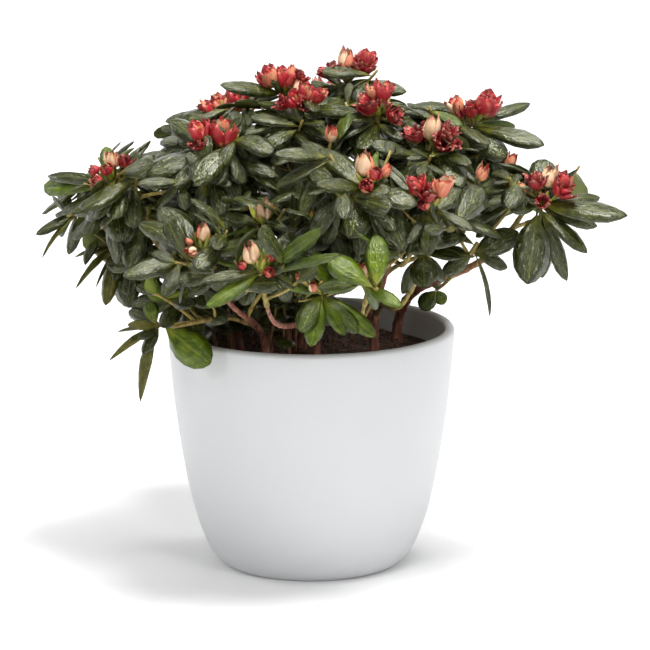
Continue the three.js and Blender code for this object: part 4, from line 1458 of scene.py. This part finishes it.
def add_bracts(foot, axis, draw, size):
    """Narrow pale leaves round the foot of a cluster, bent outwards."""
    for k in range(BRACTS):
        along = leaning(axis, draw() * 40 + k * GOLDEN, 28 + 34 * draw())
        turn = lying(along, axis)
        length = (8 + 5 * draw()) * size
        places_here = petal_blanks["bract"].places.copy()
        places_here[:, 2] += 0.35 * places_here[:, 1] ** 2
        bracts.add(petal_blanks["bract"], foot + length * (places_here @ turn))


# %% Clusters: the buds of each, as (sort, right, back, up in mm, lean outwards in degrees, size)
behind = [("open", 5, 10, -8, 25, 0.9), ("double", -1, 13, -8, 35, 0.9), ("pale", 3, 16, -10, 30, 0.9)]
clusters = {
    "upperLeft": [
        ("pink", -7, 1, 3, 8, 1.0), ("open", -6, -3, 4, 10, 0.9), ("double", -6, -6, 0, 40, 0.85),
        ("open", 7, -3, 0, 12, 1.15), ("open", 1, 5, 1, 20, 0.9)],
    "upperLeftBack": [
        ("pink", -1, 0, 1, 6, 1.0), ("open", -6, -1, 0, 20, 0.9), ("open", 9, 0, 4, 10, 1.05),
        ("small", 15, 0, 3, 50, 0.7), ("open", 0, 6, 1, 25, 0.9)],
    "topLeft": [
        ("open", -2, -4, 0, 20, 0.85), ("open", 4, -2, 3, 14, 0.9), ("open", 9, -1, 3, 25, 0.8),
        ("bead", -8, -3, 0, 50, 1.2), ("pale", 0, 2, 5, 6, 0.9), ("bead", 2, -6, 0, 50, 1.1)],
    "topLeftUp": [
        ("open", -7, -1, 3, 22, 1.0), ("open", 0, 0, 1, 5, 0.95), ("pale", 5, 1, 6, 6, 0.85),
        ("double", 10, 0, 6, 30, 0.7), ("double", 1, 6, 2, 30, 0.9)],
    "top": [
        ("double", -9, -3, 2, 35, 1.0), ("bead", -2, -6, 2, 30, 1.3), ("pale", 0, 0, 6, 2, 1.1),
        ("double", 8, -2, 3, 22, 1.1), ("open", 11, 1, 6, 20, 0.95), ("double", 3, 6, 2, 30, 0.95)],
    "topRight": [
        ("double", -5, -4, 0, 20, 1.15), ("open", 2, 0, 9, 10, 0.85), ("pink", -3, 2, 10, 8, 0.7),
        ("double", 6, -3, -2, 60, 0.9), ("double", 0, 6, 0, 30, 0.9)],
    "upperRight": [
        ("pale", -5, -2, 5, 4, 1.15), ("double", -13, -1, 3, 30, 1.0), ("double", 3, 0, 6, 26, 0.95),
        ("double", 1, -5, 0, 45, 1.0), ("bead", 8, -4, 1, 60, 0.9), ("double", -6, 5, 2, 30, 0.9)],
    "upperRightBack": [
        ("pink", -10, 0, 4, 35, 0.95), ("double", -3, -3, 2, 12, 1.0), ("open", 5, -1, 3, 14, 1.2),
        ("bead", -9, -2, 1, 50, 1.0), ("double", 0, 6, 2, 30, 0.9)],
    "frontHigh": [
        ("pale", -2, 0, 6, 8, 1.2), ("round", 3, -4, 5, 20, 0.95), ("round", -1, -6, -1, 50, 0.9),
        ("small", 9, 1, 5, 25, 0.85)],
    "frontRight": [
        ("open", -8, 0, 7, 18, 0.85), ("pink", 4, -1, 5, 12, 1.0), ("double", -3, -3, 3, 12, 1.0),
        ("round", -4, -6, 1, 60, 0.75)],
    "right": [
        ("pale", 2, 1, 10, 4, 1.1), ("double", -4, -1, 8, 20, 1.0), ("double", 8, -3, 5, 30, 1.1),
        ("open", 9, 0, 8, 30, 0.85), ("bead", -1, -7, 0, 60, 1.2), ("small", -11, -2, 8, 65, 0.75)],
    "left": [
        ("pale", 1, 2, 9, 2, 0.8), ("small", 3, 0, 9, 12, 0.95), ("round", -8, -2, 6, 40, 0.75),
        ("round", -1, -4, 6, 25, 0.85), ("round", -6, -5, 0, 60, 0.85), ("double", 11, -1, 8, 30, 0.85),
        ("double", 8, 1, 9, 15, 0.75)],
    "frontLeft": [
        ("pale", 1, 0, 5, 6, 0.85), ("small", -6, -1, 3, 45, 0.55), ("small", -4, -5, -1, 75, 0.8),
        ("round", -7, -3, -1, 70, 0.5)],
    "frontLowLeft": [
        ("pale", -5, 0, 4, 8, 1.05), ("round", -10, -2, 1, 45, 0.6), ("round", 5, -1, 6, 40, 0.55),
        ("round", 4, -6, -1, 70, 0.7)],
    "frontLeftHigh": [("pale", 1, 0, 1, 2, 0.95)],
    "frontMiddle": [("small", 0, 0, 1, 5, 0.6)],
    "backLeftHigh": behind,
    "backRightHigh": behind,
    "frontLow": [("small", -1, 0, 1, 4, 1.1)],
    "frontSkirt": [("small", -5, -2, 2, 10, 0.75), ("small", -13, 0, 8, 20, 0.6)],
}
by_default = [
    ("open", -7, 1, 2, 20, 1.0), ("open", 6, -3, 2, 16, 1.05), ("pale", 0, 0, 5, 3, 1.0),
    ("double", 0, 7, 1, 35, 1.0), ("bead", -5, 7, 0, 50, 1.1), ("round", 7, 5, 1, 40, 0.8),
]

# %% Set the clusters on their shoots
for index, name in enumerate(dict.fromkeys([*sprays, *clusters])):
    if name in by_hand:
        axis = places[by_hand[name][0]][1]
        heart = np.array(by_hand[name][1], float) + axis * 2
        size = 1
    else:
        heart, axis, _ = places[name]
        size = sprays[name][5]
    if name not in clusters and (not size or name in by_hand):
        continue
    draw = seeded(index * 53 + 3)
    upright = unit(axis * 0.4 + UP * 0.6)
    for sort, right, back, up, lean, scale in clusters.get(name, by_default):
        sideways = np.array([right, back, 0.0]) + 1e-6
        sideways = unit(sideways - upright * (sideways @ upright))
        a = math.radians(lean)
        way = upright * math.cos(a) + sideways * math.sin(a)
        foot = heart + np.array([right * 0.84, back * 0.9, up * 0.8]) * size
        add_bud(sort, foot, way, draw, scale * (0.4 + 0.6 * size))
        if up > 3 or lean < 20:
            stalk = np.array([heart - axis * 3, heart * 0.5 + foot * 0.5, foot + way * 0.5])
            twigs.append((stalk, 1.0, 0.8, 0.9))
    add_bracts(heart - axis * 1.5, upright, draw, 0.6 + 0.35 * size)
for place in ((11, -50, 245), (90, -60, 226), (108, -5, 223)):  # and three buds by themselves
    foot = np.array(place, float)
    add_bud("small", foot, unit(foot * [1, 1, 0] * 0.004 + UP), seeded(place[0]), 1.05)
    twigs.append((np.array([foot - [8, -6, 30], foot - [3, -2, 12], foot + UP * 0.5]), 1.1, 0.8, 0.9))
print("petals:", {colour: heap.count for colour, heap in petals.items()})

# %% [markdown]
# ## Deal the leaves out
# Every leaf now gets a blank, a slight roll and a bend of its own, and goes to one of five heaps by its
# colour: old leaves are a deep blue green, most are dark green, younger ones are green, the youngest low on
# the shrub are fresh, and the narrow ones that hang low are olive. Each heap is one joined mesh of one
# material, because a shrub of separate leaves would be slow, and a base colour for each heap stays true
# when the model is exported.

# %% Place leaves
leaf_heaps = {colour: Heap("leaves_" + colour) for colour in ("deep", "dark", "green", "fresh", "olive")}
BLANK_WIDTHS = {"spoon": 0.45, "broad": 0.50, "ellipse": 0.42, "round": 0.53, "narrow": 0.25}
SLENDER = {"leftLow": 0.3, "farLeft": 0.08, "backLow": 0.2}  # share of narrow leaves
FEW_SLENDER = 0.03  # the same, on all other sprays
draw = seeded(2024)
for kind, foot, turn, length, arch, index, young, wide in leaves:
    chance, tone = draw(), draw()
    by_rule = kind is None
    if by_rule and chance < SLENDER.get(names[index], FEW_SLENDER):
        kind = "narrow"
    elif by_rule:
        rounded = "round" if length < 26 else "spoon"
        kind = ("spoon", "spoon", "ellipse", "broad", "spoon", rounded)[int(draw() * 6)]
    blank = leaf_blanks[kind]
    share = blank.places[:, 1]
    bend = 0.02 + (0.22 if by_rule else 0.10) * draw() ** 2
    twist = (draw() - 0.5) * (0.7 if by_rule else 0.4)
    roll = (draw() - 0.5) * (0.36 if by_rule else 0.2)
    broad = 1 if by_rule else wide * LEAF_WIDTH / BLANK_WIDTHS[kind]
    x, z = blank.places[:, 0] * broad, blank.places[:, 2]
    angle = roll + twist * share
    x, z = x * np.cos(angle) - z * np.sin(angle), x * np.sin(angle) + z * np.cos(angle)
    z = z + arch_at(share, arch) - bend * share**2.2
    y = share * (1 - 0.35 * bend * share)
    local = np.column_stack([x, y, z])
    if young > 3 or by_rule and kind == "narrow" and tone < 0.6:
        colour = "olive"
    elif young > 2 or by_rule and young > 0.1 and tone < young:
        colour = "fresh"
    elif young > 1 or by_rule and tone < young:
        colour = "green"
    elif not by_rule:
        colour = "deep" if young > 0.5 else "dark"
    else:
        colour = "deep" if tone > 0.62 else "dark"
    leaf_heaps[colour].add(blank, foot + length * (local @ turn))
print({colour: heap.count for colour, heap in leaf_heaps.items()})

# %% [markdown]
# ## Leaf, petal and twig finishes
# An azalea leaf is leathery. Its upper side is glossy and quilted between sunken veins, so the light breaks
# into short silvery streaks, and its underside is pale and dull. Those silvery streaks, and the light caught
# along the edges, are also painted into the upper side's colour as highlights, mixed with its pale flat
# hairs. The pattern follows the leaf's own UV map: across is the first number and along is the second, and
# the underside has two added to it.


# %% Leaf material
def sheet_place(tree):
    """Where a point is across and along its leaf or petal, as two sockets."""
    uv = tree.nodes.new("ShaderNodeUVMap")
    uv.uv_map = "flat"
    across, along, _ = apart(tree, uv.outputs["UV"])
    return across, along


def streaks(tree, across, along, crosswise, lengthwise, roughness):
    """Noise drawn out along the leaf, and other on each leaf: its place in the shrub is mixed in."""
    x, y, z = apart(tree, tree.nodes.new("ShaderNodeTexCoord").outputs["Object"])
    where = math_node(tree, "ADD", math_node(tree, "ADD", x, y), z)
    vector = tree.nodes.new("ShaderNodeCombineXYZ")
    scaled = ((across, crosswise), (along, lengthwise), (where, 90.0))
    for socket, (value, scale) in zip(vector.inputs, scaled):
        tree.links.new(math_node(tree, "MULTIPLY", value, scale), socket)
    texture = tree.nodes.new("ShaderNodeTexNoise")
    texture.inputs["Scale"].default_value = 1
    texture.inputs["Detail"].default_value = 3
    texture.inputs["Roughness"].default_value = roughness
    tree.links.new(vector.outputs[0], texture.inputs["Vector"])
    return texture.outputs["Fac"]


HAIR_AND_GLINT = (0.60, 0.63, 0.40)  # the stiff pale hairs that lie flat on an azalea leaf, and painted silver highlights
BLACK, WHITE = (0, 0, 0), (1, 1, 1)
RIB, EDGE = 0.03, 0.46  # how far from the middle line, in widths, the rib ends and the edge begins
SLANT, VEINS = 0.8, 46.0  # how much the veins slant forward, and how close they are


def leaf_finish(name, dark, light, rib, under, gloss, hair_and_glint):
    """A leathery leaf: waxy and crinkled above, with sunken veins, a pale rib and painted silvery highlights,
    dull and paler below.
    """
    material, tree, principled = shader(name, light, gloss)
    across, along = sheet_place(tree)
    below = math_node(tree, "GREATER_THAN", across, 1.5)
    inside = math_node(tree, "SUBTRACT", across, math_node(tree, "MULTIPLY", below, 2.0))
    off = math_node(tree, "ABSOLUTE", math_node(tree, "SUBTRACT", inside, 0.5))
    rib_share = math_node(tree, "LESS_THAN", off, RIB)
    edge_glint_share = math_node(tree, "GREATER_THAN", off, EDGE)
    slanted = math_node(tree, "SUBTRACT", along, math_node(tree, "MULTIPLY", off, SLANT))
    wobble = math_node(tree, "MULTIPLY", noise(tree, 420, 2), 6.0)
    rising = math_node(tree, "MULTIPLY", slanted, VEINS)
    veins = math_node(tree, "SINE", math_node(tree, "ADD", rising, wobble))
    top = ramp(tree, noise(tree, 230, 4), (0.36, dark), (0.66, light))
    stalk_share = math_node(tree, "MAXIMUM", spread(tree, along, 1.0, -1.9), 0.0)
    top = blend(tree, stalk_share, top, rib)
    top = blend(tree, math_node(tree, "MULTIPLY", rib_share, 0.3), top, rib)
    # painted highlight: the edges are lightened towards silver for light caught along the rim, partly also
    # for their fringe of hairs
    top = blend(tree, math_node(tree, "MULTIPLY", edge_glint_share, hair_and_glint * 0.45), top, HAIR_AND_GLINT)
    # painted highlights: thin silver streaks in the upper side's colour stand for glints on the crinkles as
    # well as for the flat hairs
    strands = streaks(tree, across, along, 18.0, 8.0, 0.75)
    hairs_and_glints = ramp(tree, strands, (0.58, BLACK), (0.67, WHITE))
    top = blend(tree, math_node(tree, "MULTIPLY", hairs_and_glints, hair_and_glint), top, HAIR_AND_GLINT)
    tree.links.new(blend(tree, below, top, under), principled.inputs["Base Color"])
    dull = math_node(tree, "MULTIPLY", below, 0.3)
    uneven = spread(tree, noise(tree, 800, 3), gloss - 0.22, gloss + 0.16)
    tree.links.new(math_node(tree, "ADD", uneven, dull), principled.inputs["Roughness"])
    wax = math_node(tree, "MULTIPLY", math_node(tree, "SUBTRACT", 1.0, below), 0.2 + 1.1 * hair_and_glint)
    tree.links.new(wax, principled.inputs["Coat Weight"])
    principled.inputs["Coat Roughness"].default_value = 0.08
    principled.inputs["Specular IOR Level"].default_value = 0.25
    principled.inputs["Specular Tint"].default_value = (1.0, 1.0, 0.6, 1)
    relief(tree, principled, veins, 0.00005, 0.7)
    relief(tree, principled, streaks(tree, across, along, 8.0, 3.5, 0.55), 0.0007, 1.0)
    relief(tree, principled, strands, 0.0003, 1.0)
    relief(tree, principled, noise(tree, 850, 2), 0.00024, 1.0)
    return material


# %% The five colours of leaf
# hollows and heights of the upper side, rib, underside, roughness, share of hairs and painted highlights
leaf_looks = {
    "deep": (
        (0.007, 0.012, 0.001), (0.029, 0.036, 0.004), (0.16, 0.17, 0.02), (0.11, 0.13, 0.04), 0.38, 0.33
    ),
    "dark": (
        (0.009, 0.015, 0.001), (0.035, 0.042, 0.004), (0.18, 0.18, 0.02), (0.13, 0.15, 0.04), 0.37, 0.29
    ),
    "green": (
        (0.017, 0.033, 0.001), (0.056, 0.085, 0.003), (0.22, 0.24, 0.02), (0.14, 0.18, 0.03), 0.38, 0.18
    ),
    "fresh": (
        (0.034, 0.062, 0.001), (0.090, 0.135, 0.002), (0.27, 0.30, 0.03), (0.18, 0.23, 0.04), 0.38, 0.10
    ),
    "olive": (
        (0.044, 0.045, 0.006), (0.120, 0.112, 0.016), (0.24, 0.20, 0.03), (0.18, 0.17, 0.05), 0.45, 0.14
    ),
}
spray_nodes = [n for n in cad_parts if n.startswith("spray_")]
for colour, heap in leaf_heaps.items():
    heap.piece(leaf_finish("leaf_" + colour, *leaf_looks[colour]), "foliage", *spray_nodes)


# %% Petal materials
def petal_finish(name, base, middle, tip, under, patch, share):
    """A petal: base, middle and tip colours along it, darker stripes, and patches of another colour."""
    material, tree, principled = shader(name, middle, 0.48)
    across, along = sheet_place(tree)
    wander = math_node(tree, "ADD", along, math_node(tree, "MULTIPLY", noise(tree, 240, 2), 0.34))
    tone = ramp(tree, wander, (0.20, base), (0.44, middle), (0.98, middle), (1.12, tip))
    spots = ramp(tree, noise(tree, 260, 3), (0.50, BLACK), (0.66, WHITE))
    tone = blend(tree, math_node(tree, "MULTIPLY", spots, share), tone, patch)
    stripes = streaks(tree, across, along, 9.0, 2.0, 0.6)
    shade = blend(tree, ramp(tree, stripes, (0.40, BLACK), (0.70, (0.75, 0.75, 0.75))), tone, under)
    tree.links.new(shade, principled.inputs["Base Color"])
    relief(tree, principled, stripes, 0.0005, 0.8)
    return material


# %% The four colours of petal, and the bracts
# base, middle, tip, stripes, patches, share of the patches
petal_looks = {
    "crimson": ((0.36, 0.28, 0.05), (0.43, 0.014, 0.022), (0.54, 0.08, 0.07), (0.18, 0.004, 0.008),
                (0.55, 0.20, 0.10), 0.45),
    "blush": ((0.36, 0.32, 0.06), (0.62, 0.22, 0.12), (0.48, 0.04, 0.03), (0.45, 0.05, 0.03),
              (0.62, 0.42, 0.20), 0.6),
    "garnet": ((0.34, 0.27, 0.05), (0.30, 0.010, 0.018), (0.52, 0.16, 0.12), (0.11, 0.003, 0.006),
               (0.50, 0.17, 0.09), 0.45),
    "cream": ((0.34, 0.35, 0.06), (0.72, 0.49, 0.31), (0.64, 0.25, 0.17), (0.64, 0.33, 0.20),
              (0.50, 0.46, 0.14), 0.5),
}
bract_look = (
    (0.16, 0.20, 0.02), (0.28, 0.30, 0.03), (0.44, 0.22, 0.06), (0.16, 0.18, 0.03), (0.34, 0.30, 0.09), 0.5,
)
for colour, heap in petals.items():
    heap.piece(petal_finish("petal_" + colour, *petal_looks[colour]), "foliage", *spray_nodes)
bracts.piece(petal_finish("bract_green", *bract_look), "foliage", *spray_nodes)

# %% Twigs, with a small swelling at every other point
KNOTS = 0.10
old_twigs, green_twigs = Heap("twigs_brown"), Heap("twigs_green")
for path, foot, tip, young in twigs:
    heap = green_twigs if young > 0.5 else old_twigs
    radii = np.linspace(foot, tip, len(path)) * (1 + KNOTS * (np.arange(len(path)) % 2))
    add_tube(heap, path, radii, 7)
green_bark = bark_finish("green_bark", GREEN_WOOD)
old_twigs.piece(young_bark, "bark", *spray_nodes)
green_twigs.piece(green_bark, "bark", *spray_nodes)
